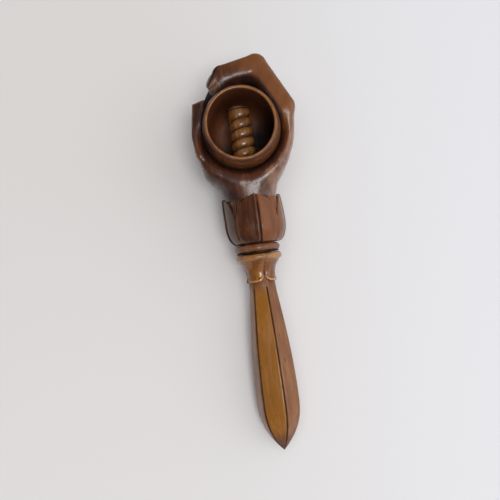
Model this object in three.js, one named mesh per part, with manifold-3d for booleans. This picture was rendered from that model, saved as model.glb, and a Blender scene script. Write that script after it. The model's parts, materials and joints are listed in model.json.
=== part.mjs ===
// A carved wooden screw nutcracker. A clenched right hand holds a round cup for the nut, and a
// wooden screw with a six-sided handle climbs through the wrist into the cup.
//
// Lengths are in millimetres. While the pieces are made, the cup's axis is Z, open upwards, and the
// screw's axis is Y, with the handle towards -Y. "Distance" is measured from the cup's axis along
// the screw towards the handle. At the end the press is tipped as it lies on a table, on the edge of
// the cup's base and the belly of the handle.

import * as THREE from "three";
import { mergeVertices } from "three/addons/utils/BufferGeometryUtils.js";
import Module from "manifold-3d";

const wasm = await Module();
wasm.setup();

// Fits between pieces.
const seamGap = 0.3;
const turningGap = 0.35;
const overrun = 6;

// The nut cup, a turned barrel.
const cupRimRadius = 16.7;
const cupBellyRadius = 19.4;
const cupBaseRadius = 14.5;
const cupRimHeight = 19.5;
const cupBellyHeight = 3;
const cupBaseDrop = 21.5;
const cupRimRounding = 0.7;
const cupOvalShare = 1.035;
const chamberMouthRadius = 15.2;
const chamberBellyRadius = 16.2;
const chamberFloorRadius = 9;
const chamberFloorDrop = 16.5;

// The screw.
const screwRadius = 5.75;
const threadPitch = 4.8;
const threadDepth = 1.3;
const grooveMouth = 2.6;
const grooveFloor = 1;
const threadClearance = 0.35;
const flankClearance = 0.3;
const frontGrooveReach = 5.75;
const noseReach = 13;
const noseLength = 2.4;
const noseTipRadius = 2.2;
const tenonRadius = 4.2;
const tenonDepthInGrip = 22;

// The fist. Its outline is seen from the cup's mouth.
const fistReach = 34.4;
const fistHalfWidth = 26.3;
const fistTopHeight = 15.3;
const fistRounding = 4;
const knuckleRadius = 5.5;
const indexWidth = 10.3;
const middleWidth = 9.3;
const ringFingerWidth = 8.4;
const littleWidth = 7.2;
const fingerGrooveDepth = 1.7;
const palmLean = 3.4;
const palmWallRadius = 21;
const thumbHeight = 10;
const thumbHalfWidth = 4.8;
const thumbHalfThickness = 5.2;

// The trough round the cup: between the fingers it is level with a steep side, and towards the wrist
// the hand's top rises evenly from it.
const troughHeight = 7.4;
const troughSideWidth = 4.2;
const troughSideInset = 2.6;
const heelFootHeight = 4.6;
const heelFootInset = 2;
const heelRise = 0.95;
const heelStart = -7;
const heelFull = 10.5;

// The wrist. It grows out of the hand, and inside the cuff it narrows to a tenon, at these shares of
// the cuff's length.
const wristBlendStart = 9.7;
const wristRootRadius = 7.8;
const wristShoulderInset = 2;
const wristDistance = 30;
const wristRadius = 12.2;
const wristNeckRadius = 10.6;
const wristTenonRadius = 7.8;
const wristNeckShare = 0.35;
const wristShoulderShare = 0.65;

// The petal cuff and its base ring.
const cuffTipStep = 2;
const cuffLength = 23;
const cuffBellyShare = 0.587;
const cuffTipRadius = 13.7;
const cuffBellyRadius = 14.8;
const cuffBaseRadius = 10.2;
const innerPetalStep = 1;
const innerPetalLead = 1;
const midribHeight = 0.9;
const petalSeamDepth = 0.5;
const midribHalfAngle = 7;
const petalSeamHalfAngle = 6;
const petalTurn = 8;
const cuffRingLength = 3.3;
const cuffRingRadius = 10.9;
const ringFootLength = 0.85;
const ringFootRadius = 9.9;

// The handle's collar, a bell with a four-lobed calyx.
const collarRimRadius = 11.4;
const collarRimLength = 2.4;
const collarNeckRadius = 6.8;
const collarLobeRadius = 7.2;
const collarLength = 14.7;
const collarNotchDepth = 3.5;
const lobeTurn = 14;

// The handle's grip, six-sided with a pointed end.
const gripNeckRadius = 6;
const gripNeckInset = 6.5;
const gripNeckLength = 9;
const gripShoulderRadius = 6.8;
const gripBellyRadius = 10.75;
const gripBellyLength = 52;
const gripPointLength = 25.8;
const gripGrooveWidth = 1.3;
const gripGrooveDepth = 0.6;
const gripTurn = 12;

// How finely curved faces are cut.
const cupSides = 48;
const screwSides = 20;
const fistColumns = 56;
const cuffColumns = 64;
const collarSides = 40;

const cuffTipDistance = wristDistance + cuffTipStep;
const cuffBaseDistance = cuffTipDistance + cuffLength;
const cuffBellyDistance = cuffTipDistance + cuffLength * cuffBellyShare;
const wristNeckDistance = cuffTipDistance + cuffLength * wristNeckShare;
const wristShoulderDistance = cuffTipDistance + cuffLength * wristShoulderShare;
const cuffRingDistance = cuffBaseDistance + seamGap;
const cuffRingEnd = cuffRingDistance + cuffRingLength;
const ringFootEnd = cuffRingEnd + ringFootLength;
const collarDistance = ringFootEnd + turningGap;
const collarRimEnd = collarDistance + collarRimLength;
const collarLobeDistance = collarDistance + collarLength;
const collarNotchDistance = collarLobeDistance - collarNotchDepth;
const gripNeckDistance = collarLobeDistance - gripNeckInset;
const gripShoulderDistance = gripNeckDistance + gripNeckLength;
const gripBellyDistance = gripShoulderDistance + gripBellyLength;
const gripTipDistance = gripBellyDistance + gripPointLength;
const boreRadius = screwRadius + threadClearance;
const clearBoreRadius = boreRadius + seamGap;
const gripSocketRadius = tenonRadius + seamGap;
const fistDepth = littleWidth + ringFingerWidth + middleWidth + indexWidth;
const fistBottomHeight = fistTopHeight - fistDepth;
const degree = Math.PI / 180;

function smooth(from, to, value) {
  return THREE.MathUtils.smoothstep(value, from, to);
}

function mix(a, b, share) {
  return a + (b - a) * share;
}

// Rows of points, each row a closed loop, joined into a skin. Its ends are capped, or joined to each
// other where the rows go round a hollow.
function skin(rows, endsMeet = false) {
  const columns = rows[0].length;
  const points = rows.flat();
  const faces = [];
  const joins = endsMeet ? rows.length : rows.length - 1;
  for (let row = 0; row < joins; row++) {
    const next = (row + 1) % rows.length;
    for (let column = 0; column < columns; column++) {
      const beside = (column + 1) % columns;
      const a = row * columns + column;
      const b = row * columns + beside;
      const c = next * columns + beside;
      const d = next * columns + column;
      faces.push(a, b, c, a, c, d);
    }
  }
  if (!endsMeet) {
    capRow(points, faces, 0, columns, true);
    capRow(points, faces, (rows.length - 1) * columns, columns, false);
  }
  return closedGeometry(points, faces);
}

function capRow(points, faces, start, columns, isFirst) {
  const middle = new THREE.Vector3();
  for (let column = 0; column < columns; column++) {
    middle.add(points[start + column]);
  }
  points.push(middle.divideScalar(columns));
  for (let column = 0; column < columns; column++) {
    const a = start + column;
    const b = start + ((column + 1) % columns);
    faces.push(points.length - 1, isFirst ? b : a, isFirst ? a : b);
  }
}

function closedGeometry(points, faces) {
  const geometry = new THREE.BufferGeometry().setFromPoints(points);
  geometry.setIndex(faces);
  return facingOut(geometry);
}

function signedVolume(geometry) {
  const position = geometry.attributes.position;
  const index = geometry.index.array;
  const a = new THREE.Vector3();
  const b = new THREE.Vector3();
  const c = new THREE.Vector3();
  let volume = 0;
  for (let i = 0; i < index.length; i += 3) {
    a.fromBufferAttribute(position, index[i]);
    b.fromBufferAttribute(position, index[i + 1]);
    c.fromBufferAttribute(position, index[i + 2]);
    volume += a.dot(b.cross(c)) / 6;
  }
  return volume;
}

function facingOut(geometry) {
  if (signedVolume(geometry) < 0) {
    geometry.index.array.reverse();
  }
  return geometry;
}

function plainGeometry(geometry) {
  const plain = geometry.clone();
  plain.deleteAttribute("normal");
  plain.deleteAttribute("uv");
  return facingOut(mergeVertices(plain));
}

function solidOf(geometry) {
  const plain = plainGeometry(geometry);
  return new wasm.Manifold(
    new wasm.Mesh({
      numProp: 3,
      vertProperties: new Float32Array(plain.attributes.position.array),
      triVerts: new Uint32Array(plain.index.array),
    }),
  );
}

function geometryOf(solid) {
  const mesh = solid.getMesh();
  const geometry = new THREE.BufferGeometry();
  geometry.setAttribute("position", new THREE.BufferAttribute(mesh.vertProperties, 3));
  geometry.setIndex(new THREE.BufferAttribute(mesh.triVerts, 1));
  return geometry;
}

// A piece turned about the screw's axis. The profile is a list of [radius, distance].
function turned(profile, sides) {
  const points = profile.map(([radius, distance]) => new THREE.Vector2(radius, -distance));
  return new THREE.LatheGeometry(points, sides);
}

// A plain bore or post along the screw's axis.
function post(radius, start, end, sides = screwSides) {
  return turned([[0, start], [radius, start], [radius, end], [0, end]], sides);
}

// A piece turned about the cup's axis, a little longer along the grain. The profile is a list of
// [radius, height].
function cupTurned(profile) {
  const points = profile.map(([radius, height]) => new THREE.Vector2(radius, height));
  return new THREE.LatheGeometry(points, cupSides).rotateX(Math.PI / 2).scale(1, cupOvalShare, 1);
}

// The barrel's outside: from the base edge over the belly to the rim, at a distance from the wood.
function barrelSide(offset) {
  const steps = 9;
  const side = [];
  for (let step = 0; step <= steps; step++) {
    const share = step / steps;
    const height = mix(-cupBaseDrop, cupRimHeight - cupRimRounding, share);
    const below = height < cupBellyHeight;
    const end = below ? -cupBaseDrop : cupRimHeight;
    const endRadius = below ? cupBaseRadius : cupRimRadius;
    const away = (height - cupBellyHeight) / (end - cupBellyHeight);
    side.push([mix(cupBellyRadius, endRadius, away * away) + offset, height]);
  }
  return side;
}

function nutCup() {
  const outside = barrelSide(0);
  const rimMiddle = (cupRimRadius + chamberMouthRadius) / 2;
  const inside = [[chamberMouthRadius, cupRimHeight - cupRimRounding]];
  const steps = 8;
  for (let step = 1; step <= steps; step++) {
    const share = step / steps;
    const bulge = Math.sin(share * Math.PI);
    const wall = mix(chamberMouthRadius, chamberFloorRadius, share ** 5);
    const height = mix(cupRimHeight, -chamberFloorDrop, Math.sin(share * Math.PI / 2) ** 0.8);
    inside.push([wall + (chamberBellyRadius - chamberMouthRadius) * bulge, height]);
  }
  const profile = [
    [0, -cupBaseDrop],
    ...outside,
    [rimMiddle, cupRimHeight],
    ...inside,
    [0, -chamberFloorDrop - cupRimRounding],
  ];
  const bore = post(clearBoreRadius, 0, cupBellyRadius + overrun);
  return geometryOf(solidOf(cupTurned(profile)).subtract(solidOf(bore)));
}

// What the fist gives up to the barrel: its shape below the belly, and a straight way in above it.
function barrelPocket() {
  const side = barrelSide(seamGap).filter(([, height]) => height <= cupBellyHeight);
  const wayIn = cupBellyRadius + seamGap;
  return cupTurned([
    [0, -cupBaseDrop - overrun],
    [cupBaseRadius + seamGap, -cupBaseDrop - overrun],
    ...side,
    [wayIn, cupBellyHeight],
    [wayIn, cupRimHeight + overrun],
    [0, cupRimHeight + overrun],
  ]);
}

// A threaded rod. Each pitch has four corners: the two edges of the crest and of the groove's floor.
// Every column of points follows the helix, so the ends are ragged until the rod is cut to length.
function threadedRod(crestRadius, floorRadius, mouth, floor, start, end) {
  const corners = [
    [crestRadius, mouth / 2 - threadPitch],
    [crestRadius, -mouth / 2],
    [floorRadius, -floor / 2],
    [floorRadius, floor / 2],
  ];
  const firstTurn = Math.floor((-end - frontGrooveReach) / threadPitch) - 2;
  const lastTurn = Math.ceil((-start - frontGrooveReach) / threadPitch) + 2;
  const rowCount = (lastTurn - firstTurn) * corners.length;
  const points = [];
  for (let side = 0; side < screwSides; side++) {
    const turn = side / screwSides;
    const angle = turn * 2 * Math.PI;
    for (let row = 0; row < rowCount; row++) {
      const [radius, offset] = corners[row % corners.length];
      const pitches = firstTurn + Math.floor(row / corners.length) + turn;
      const y = frontGrooveReach + pitches * threadPitch + offset;
      points.push(new THREE.Vector3(Math.sin(angle) * radius, y, Math.cos(angle) * radius));
    }
  }
  const faces = [];
  const lowEnd = [];
  const highEnd = [];
  for (let side = 0; side < screwSides; side++) {
    const here = side * rowCount;
    const isLast = side === screwSides - 1;
    const lift = isLast ? corners.length : 0;
    const beside = isLast ? 0 : here + rowCount;
    for (let row = 0; row < rowCount - 1 - lift; row++) {
      const a = here + row;
      const b = beside + row + lift;
      faces.push(a, b, b + 1, a, b + 1, a + 1);
    }
    lowEnd.push(here);
    highEnd.push(here + rowCount - 1);
  }
  for (let step = 0; step < corners.length; step++) {
    lowEnd.push(corners.length - step);
    highEnd.push(screwSides * rowCount - 2 - step);
  }
  closeEnd(points, faces, lowEnd, false);
  closeEnd(points, faces, highEnd, true);
  const rod = solidOf(closedGeometry(points, faces));
  return rod.intersect(solidOf(post(crestRadius + overrun, start, end)));
}

function closeEnd(points, faces, loop, isHigh) {
  const middle = new THREE.Vector3();
  for (const index of loop) {
    middle.y += points[index].y / loop.length;
  }
  points.push(middle);
  loop.forEach((a, place) => {
    const b = loop[(place + 1) % loop.length];
    faces.push(points.length - 1, isHigh ? a : b, isHigh ? b : a);
  });
}

// The fingers, from the little finger up. Each joint, from the knuckle to the tip, is given as how far
// right, how far towards the fingers' end and how thick it is, as shares of the fist's half width, of
// its reach and of the thickest knuckle's radius.
const fingers = [
  {
    width: littleWidth,
    jointShares: [
      [0.738, 0.153, 0.818],
      [0.346, 0.718, 0.764],
      [-0.254, 0.635, 0.709],
      [-0.6, 0.25, 0.6],
    ],
  },
  {
    width: ringFingerWidth,
    jointShares: [
      [0.777, 0.176, 0.909],
      [0.369, 0.776, 0.855],
      [-0.254, 0.676, 0.782],
      [-0.615, 0.279, 0.655],
    ],
  },
  {
    width: middleWidth,
    jointShares: [
      [0.796, 0.191, 0.964],
      [0.385, 0.806, 0.909],
      [-0.246, 0.706, 0.818],
      [-0.562, 0.365, 0.673],
    ],
  },
  {
    width: indexWidth,
    jointShares: [
      [0.804, 0.206, 1],
      [0.4, 0.826, 0.964],
      [-0.223, 0.735, 0.855],
      [-0.354, 0.6, 0.709],
    ],
  },
];

// The palm and the back of the hand, anticlockwise from the right of the wrist to the thumb's root:
// how far right and how far towards the fingers, as shares of the fist's half width and reach.
const palmOutlineShares = [
  [0.469, -0.897],
  [0.604, -0.735],
  [0.777, -0.529],
  [0.9, -0.315],
  [0.962, -0.091],
  [0.981, 0],
  [0.969, 0.103],
  [0.885, 0.221],
  [0, 0.353],
  [-0.654, 0.118],
  [-0.788, 0],
  [-0.869, -0.25],
  [-0.846, -0.382],
  [-0.819, -0.5],
  [-0.727, -0.662],
  [-0.515, -0.806],
  [-0.469, -0.897],
];

// Where the hand's top begins to sink to the trough round the cup, anticlockwise from the right.
const troughEdgeShares = [
  [0.804, 0.029],
  [0.792, 0.132],
  [0.677, 0.285],
  [0.523, 0.494],
  [0.4, 0.626],
  [0.25, 0.679],
  [0.127, 0.685],
  [-0.031, 0.671],
  [-0.192, 0.624],
  [-0.362, 0.5],
  [-0.538, 0.412],
  [-0.669, 0.265],
  [-0.731, -0.088],
  [-0.631, -0.397],
  [-0.462, -0.535],
  [-0.231, -0.624],
  [0, -0.653],
  [0.231, -0.629],
  [0.462, -0.541],
  [0.646, -0.406],
  [0.754, -0.247],
  [0.8, -0.103],
];

function onFist(shares) {
  return shares.map(([across, along]) => new THREE.Vector2(across * fistHalfWidth, along * fistReach));
}

const palmOutline = onFist(palmOutlineShares);
const troughEdge = onFist(troughEdgeShares);

// How far a place is from a closed outline, negative inside.
function outlineDistance(outline, place) {
  let nearest = Infinity;
  let isInside = false;
  outline.forEach((from, index) => {
    const to = outline[(index + 1) % outline.length];
    const side = to.clone().sub(from);
    const away = place.clone().sub(from);
    const share = THREE.MathUtils.clamp(away.dot(side) / side.lengthSq(), 0, 1);
    nearest = Math.min(nearest, away.distanceTo(side.clone().multiplyScalar(share)));
    const crosses = from.y > place.y !== to.y > place.y;
    if (crosses && away.x < (away.y * side.x) / side.y) {
      isInside = !isInside;
    }
  });
  return isInside ? -nearest : nearest;
}

// How far a finger reaches from the cup's axis in one direction. Each length between two joints is
// taken as a run of discs.
function fingerReach({ jointShares }, direction) {
  const discs = 16;
  let reach = 0;
  for (let joint = 1; joint < jointShares.length; joint++) {
    for (let disc = 0; disc <= discs; disc++) {
      const [across, along, thick] = jointShares[joint].map((value, part) =>
        mix(jointShares[joint - 1][part], value, disc / discs),
      );
      const middle = new THREE.Vector2(across * fistHalfWidth, along * fistReach);
      const ahead = middle.dot(direction);
      const aside = middle.cross(direction);
      const radius = thick * knuckleRadius;
      if (Math.abs(aside) < radius) {
        reach = Math.max(reach, ahead + Math.sqrt(radius ** 2 - aside ** 2));
      }
    }
  }
  return reach;
}

// The same for the palm.
function palmReach(direction) {
  let reach = 0;
  palmOutline.forEach((from, index) => {
    const side = palmOutline[(index + 1) % palmOutline.length].clone().sub(from);
    const turn = direction.cross(side);
    const along = from.cross(side) / turn;
    const share = from.cross(direction) / turn;
    if (along > 0 && share >= 0 && share <= 1) {
      reach = Math.max(reach, along);
    }
  });
  return reach;
}

// The fingers' middles and the grooves between them, from the bottom of the fist to its top: each is
// at a height, belongs to one or two fingers, and lies in by a share of the groove's depth.
function fingerLevels() {
  const grooveShares = [0.22, 0, 0.22, 1];
  const levels = [];
  let bottom = fistBottomHeight;
  fingers.forEach((finger, place) => {
    grooveShares.forEach((groove, quarter) => {
      const isBetween = quarter === grooveShares.length - 1 && place < fingers.length - 1;
      levels.push({
        height: bottom + (finger.width * (quarter + 1)) / grooveShares.length,
        groove,
        fingers: isBetween ? [finger, fingers[place + 1]] : [finger],
      });
    });
    bottom += finger.width;
  });
  return levels.slice(1, -2);
}

function towardsWrist(y) {
  return smooth(wristBlendStart, wristDistance, -y);
}

// The hand's top over one place.
function topHeight(place) {
  const beyond = outlineDistance(troughEdge, place);
  const side = smooth(-troughSideInset, troughSideWidth - troughSideInset, beyond);
  const byFingers = mix(troughHeight, fistTopHeight, side);
  const byHeel = heelFootHeight + heelRise * Math.max(beyond + heelFootInset, 0);
  const height = mix(byFingers, byHeel, smooth(heelStart, heelFull, -place.y));
  return Math.min(height, mix(fistTopHeight, wristRadius, towardsWrist(place.y)));
}

// The whole fist as rows of points from the bottom to the top. Each row runs round the cup.
function fistRows() {
  const levels = fingerLevels();
  const roundings = [0, 30, 60, 90];
  const ringShares = [0.3, 0.55, 0.75, 0.9, 1];
  const rows = [...roundings, ...levels, ...roundings, ...ringShares, 1].map(() => []);
  for (let column = 0; column < fistColumns; column++) {
    const angle = (column / fistColumns) * 2 * Math.PI;
    fistColumn(new THREE.Vector2(Math.cos(angle), Math.sin(angle)), levels, roundings, ringShares)
      .forEach((point, row) => rows[row].push(point));
  }
  return rows;
}

// One column of the fist in one direction from the cup's axis: under the little finger, up over the
// fingers' backs, round the top's edge, and across the top into the pocket that is cut for the cup.
function fistColumn(direction, levels, roundings, ringShares) {
  const innermost = cupBellyRadius - troughSideInset;
  const index = fingers[fingers.length - 1];
  const middle = fingers[fingers.length - 2];
  const indexReach = Math.max(fingerReach(index, direction), palmReach(direction));
  const indexIsHere = indexReach > palmWallRadius + seamGap;
  const ceiling = indexIsHere ? fistTopHeight : fistTopHeight - indexWidth;
  const reachAt = (owners, groove, height) => {
    const here = indexIsHere ? owners : owners.map((finger) => (finger === index ? middle : finger));
    const finger = Math.max(...here.map((one) => fingerReach(one, direction)));
    const palm = palmReach(direction);
    const atWrist = towardsWrist(direction.y * palm);
    const lean = palmLean * Math.min(height / fistBottomHeight, 1) ** 2 * (height < 0 ? 1 - atWrist : 0);
    return Math.max(finger - groove * fingerGrooveDepth, palm - lean, palmWallRadius);
  };
  const placeAt = (reach) => direction.clone().multiplyScalar(reach);
  const pointAt = (reach, height) => {
    const place = placeAt(reach);
    return new THREE.Vector3(place.x, place.y, height);
  };
  const crest = reachAt([index], 0, fistTopHeight);
  const edge = Math.max(Math.min(topHeight(placeAt(crest)), ceiling) - fistRounding, fistRounding / 2);
  const drop = mix(fistBottomHeight, -wristRadius, towardsWrist(direction.y * crest));
  const lifted = (height) => {
    return height > 0 ? (height * edge) / (fistTopHeight - fistRounding) : (height * drop) / fistBottomHeight;
  };
  const points = [];
  const lowest = reachAt(levels[0].fingers, 0, fistBottomHeight);
  for (const turn of [...roundings].reverse()) {
    const inset = fistRounding * (1 - Math.cos(turn * degree));
    const height = fistBottomHeight + fistRounding * (1 - Math.sin(turn * degree));
    points.push(pointAt(turn === 90 ? innermost : lowest - inset, lifted(height)));
  }
  for (const { height, groove, fingers: owners } of levels) {
    points.push(pointAt(reachAt(owners, groove, height), lifted(height)));
  }
  for (const turn of roundings) {
    const reach = crest - fistRounding * (1 - Math.cos(turn * degree));
    const top = Math.min(topHeight(placeAt(reach)), ceiling);
    points.push(pointAt(reach, top - fistRounding * (1 - Math.sin(turn * degree))));
  }
  for (const share of ringShares) {
    const reach = mix(crest - fistRounding, innermost, share);
    points.push(pointAt(reach, Math.min(topHeight(placeAt(reach)), ceiling)));
  }
  points.push(pointAt(innermost, 0));
  return points;
}

// The thumb lies flat along the barrel on the left, from the heel of the hand to its blunt tip. Each
// place is given as shares: across of the fist's half width, along of its reach, up of the thumb's
// own height, and how wide and thick it is of its own half width and half thickness.
const thumbPlaceShares = [
  { across: -0.6, along: -0.5, up: 0.15, wide: 0.87, thick: 0.87 },
  { across: -0.685, along: -0.324, up: 0.45, wide: 0.96, thick: 0.96 },
  { across: -0.719, along: -0.147, up: 0.78, wide: 1, thick: 0.96 },
  { across: -0.723, along: 0, up: 0.92, wide: 1, thick: 1 },
  { across: -0.715, along: 0.176, up: 1, wide: 0.98, thick: 1 },
  { across: -0.7, along: 0.353, up: 1, wide: 0.9, thick: 0.97 },
  { across: -0.696, along: 0.438, up: 1, wide: 0.78, thick: 0.85 },
];

function thumb() {
  const sides = 12;
  const squarenessPower = 3;
  const rows = thumbPlaceShares.map(({ across, along, up, wide, thick }) => {
    const row = [];
    for (let side = 0; side < sides; side++) {
      const angle = (side / sides) * 2 * Math.PI;
      const over = Math.cos(angle);
      const rise = Math.sin(angle);
      const norm = Math.abs(over) ** squarenessPower + Math.abs(rise) ** squarenessPower;
      const stretch = norm ** (-1 / squarenessPower);
      row.push(
        new THREE.Vector3(
          across * fistHalfWidth + over * stretch * wide * thumbHalfWidth,
          along * fistReach,
          up * thumbHeight + rise * stretch * thick * thumbHalfThickness,
        ),
      );
    }
    return row;
  });
  return skin(rows);
}

// The wrist's outside, which the cuff's inside follows: [radius, distance].
function wristSide(offset) {
  return [
    [wristRadius + offset, wristDistance],
    [wristNeckRadius + offset, wristNeckDistance],
    [wristTenonRadius + offset, wristShoulderDistance],
    [wristTenonRadius + offset, cuffBaseDistance],
  ];
}

function wrist() {
  return turned(
    [
      [0, cupBellyRadius],
      [wristRootRadius, cupBellyRadius],
      [wristRadius, wristDistance - wristShoulderInset],
      ...wristSide(0),
      [0, cuffBaseDistance],
    ],
    cupSides,
  );
}

function fist() {
  const hand = solidOf(skin(fistRows()))
    .add(solidOf(thumb()))
    .add(solidOf(wrist()))
    .subtract(solidOf(barrelPocket()));
  const hole = threadedRod(
    boreRadius,
    screwRadius - threadDepth + threadClearance,
    grooveMouth - 2 * flankClearance,
    grooveFloor - 2 * flankClearance,
    0,
    cuffBaseDistance + overrun,
  );
  return geometryOf(hand.subtract(hole));
}

// Petals and lobes come in fours. This is how far an angle is from the nearest of four places, in
// degrees, the first of them at 0.
const quarterTurn = 90;
const petalHalfAngle = quarterTurn / 2;

function angleFromNearest(angle) {
  const within = THREE.MathUtils.euclideanModulo(angle, quarterTurn);
  return Math.min(within, quarterTurn - within);
}

// How far from the cup the edge of the broad petals is, and that of the narrow petals behind them.
function broadPetalEdge(away) {
  const tipShare = 0.3;
  const flankShare = 0.55;
  const share = away / petalHalfAngle;
  return mix(cuffTipDistance, cuffBellyDistance, tipShare * share + flankShare * share ** 3);
}

function narrowPetalEdge(away) {
  const tipShare = 0.6;
  const share = (petalHalfAngle - away) / petalHalfAngle;
  return mix(cuffTipDistance - innerPetalLead, cuffBellyDistance, tipShare * share);
}

function cuffSideRadius(distance) {
  if (distance < cuffBellyDistance) {
    const share = (cuffBellyDistance - distance) / (cuffBellyDistance - cuffTipDistance);
    return mix(cuffBellyRadius, cuffTipRadius, share * share);
  }
  const share = (distance - cuffBellyDistance) / (cuffBaseDistance - cuffBellyDistance);
  return mix(cuffBaseRadius, cuffBellyRadius, Math.sqrt(1 - share * share));
}

function cuffInnerRadius(distance) {
  const side = wristSide(seamGap);
  const next = side.findIndex(([, place]) => place >= distance);
  if (next <= 0) {
    return side[0][0];
  }
  const [farRadius, far] = side[next];
  const [nearRadius, near] = side[next - 1];
  return mix(nearRadius, farRadius, (distance - near) / (far - near));
}

function petalCuff() {
  const broadRows = 8;
  const narrowRows = 3;
  const columns = [];
  for (let column = 0; column < cuffColumns; column++) {
    const angle = (column / cuffColumns) * 360 + petalTurn;
    const away = angleFromNearest(angle - petalTurn);
    const rib = midribHeight * Math.max(0, 1 - away / midribHalfAngle);
    const seam = petalSeamDepth * Math.max(0, 1 - (petalHalfAngle - away) / petalSeamHalfAngle);
    const edge = broadPetalEdge(away);
    const top = Math.min(narrowPetalEdge(away), edge - seamGap);
    const profile = [];
    for (let row = 0; row <= broadRows; row++) {
      const distance = mix(cuffBaseDistance, edge, row / broadRows);
      const lift = Math.sin((row / broadRows) * Math.PI / 2);
      profile.push([cuffSideRadius(distance) + (rib - seam) * lift, distance]);
    }
    for (let row = 0; row <= narrowRows; row++) {
      const distance = mix(edge, top, row / narrowRows);
      profile.push([cuffSideRadius(distance) - innerPetalStep, distance]);
    }
    profile.push([cuffInnerRadius(top), top], ...wristSide(seamGap).slice(1));
    columns.push(profile.map(([radius, distance]) => around(angle, radius, distance)));
  }
  const rows = columns[0].map((_, row) => columns.map((column) => column[row]));
  return skin(rows, true);
}

// A point at an angle round the screw's axis, from straight up towards the right.
function around(angle, radius, distance) {
  return new THREE.Vector3(
    Math.sin(angle * degree) * radius,
    -distance,
    Math.cos(angle * degree) * radius,
  );
}

function cuffRing() {
  const round = cuffRingLength / 3;
  const inside = clearBoreRadius;
  return turned(
    [
      [inside, cuffRingDistance],
      [cuffRingRadius - round, cuffRingDistance],
      [cuffRingRadius - round / 4, cuffRingDistance + round / 2],
      [cuffRingRadius, cuffRingDistance + round],
      [cuffRingRadius, cuffRingEnd - round],
      [cuffRingRadius - round / 4, cuffRingEnd - round / 2],
      [ringFootRadius, cuffRingEnd],
      [ringFootRadius, ringFootEnd],
      [inside, ringFootEnd],
      [inside, cuffRingDistance],
    ],
    cupSides,
  );
}

function screwNose() {
  const steps = 4;
  const profile = [[0, noseLength - noseReach], [screwRadius, noseLength - noseReach]];
  for (let step = 1; step <= steps; step++) {
    const turn = (step / steps) * 90 * degree;
    profile.push([
      mix(noseTipRadius, screwRadius, Math.cos(turn)),
      noseLength * (1 - Math.sin(turn)) - noseReach,
    ]);
  }
  profile.push([0, -noseReach]);
  return turned(profile, screwSides);
}

function screw() {
  const thread = threadedRod(
    screwRadius,
    screwRadius - threadDepth,
    grooveMouth,
    grooveFloor,
    noseLength - noseReach + seamGap,
    collarDistance - seamGap,
  );
  const tenon = post(tenonRadius, 0, gripNeckDistance + tenonDepthInGrip);
  return geometryOf(thread.add(solidOf(tenon)));
}

// Between two lobes of the calyx this is 1, and at the middle of a lobe it is 0.
function lobeNotch(angle) {
  return (1 - angleFromNearest(angle - lobeTurn) / petalHalfAngle) ** 3;
}

function collarBell(share) {
  return mix(collarRimRadius, collarNeckRadius, 1 - (1 - share) ** 2);
}

function handleCollar() {
  const bellRows = 8;
  const rim = collarRimLength / 4;
  const socketRadius = gripNeckRadius + seamGap;
  const columns = [];
  for (let side = 0; side < collarSides; side++) {
    const angle = (side / collarSides) * 360 + lobeTurn;
    const notch = lobeNotch(angle);
    const lobeEnd = mix(collarLobeDistance, collarNotchDistance, notch);
    const profile = [
      [gripSocketRadius, collarDistance],
      [collarRimRadius - rim, collarDistance],
      [collarRimRadius, collarDistance + rim],
      [collarRimRadius, collarRimEnd - rim],
    ];
    for (let row = 0; row <= bellRows; row++) {
      const share = row / bellRows;
      const curl = smooth(0.5, 1, share) * (collarLobeRadius - collarNeckRadius) * (1 - notch);
      const groove = smooth(0.2, 0.6, share) * notch * petalSeamDepth;
      const radius = collarBell(share) - rim * (1 - share) + curl - groove;
      profile.push([radius, mix(collarRimEnd, lobeEnd, share)]);
    }
    profile.push([socketRadius, lobeEnd], [socketRadius, gripNeckDistance - seamGap]);
    profile.push([gripSocketRadius, gripNeckDistance - seamGap]);
    columns.push(profile.map(([radius, distance]) => around(angle, radius, distance)));
  }
  const rows = columns[0].map((_, row) => columns.map((column) => column[row]));
  return skin(rows, true);
}

// The grip's radius at its edges, from the round neck over the belly to the point.
function gripRadius(distance) {
  if (distance < gripShoulderDistance) {
    const share = (distance - gripNeckDistance) / (gripShoulderDistance - gripNeckDistance);
    return mix(gripNeckRadius, gripShoulderRadius, share * share);
  }
  if (distance < gripBellyDistance) {
    const share = (distance - gripShoulderDistance) / (gripBellyDistance - gripShoulderDistance);
    return mix(gripShoulderRadius, gripBellyRadius, Math.sin(share * Math.PI / 2));
  }
  const share = (distance - gripBellyDistance) / (gripTipDistance - gripBellyDistance);
  return mix(0, gripBellyRadius, 1 - share ** 2.6);
}

// One row of points round the grip. Each of the six flats has its two edges and its middle, and a
// groove follows.
function gripRow(distance) {
  const radius = gripRadius(distance);
  const halfFlat = 30;
  const edge = Math.min(gripGrooveWidth / 2 / radius / degree, halfFlat / 3);
  const flatness = smooth(gripNeckDistance + seamGap, gripShoulderDistance, distance);
  const middleRadius = mix(radius, radius * Math.cos(halfFlat * degree), flatness);
  const edgeShare = Math.cos(halfFlat * degree) / Math.cos((halfFlat - edge) * degree);
  const edgeRadius = mix(radius, radius * edgeShare, flatness);
  const groove = Math.min(gripGrooveDepth, radius / 6) * flatness;
  const row = [];
  for (let flat = 0; flat < 6; flat++) {
    const middle = flat * 2 * halfFlat - gripTurn;
    row.push(around(middle - halfFlat + edge, edgeRadius, distance));
    row.push(around(middle, middleRadius, distance));
    row.push(around(middle + halfFlat - edge, edgeRadius, distance));
    row.push(around(middle + halfFlat, edgeRadius - groove, distance));
  }
  return row;
}

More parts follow.
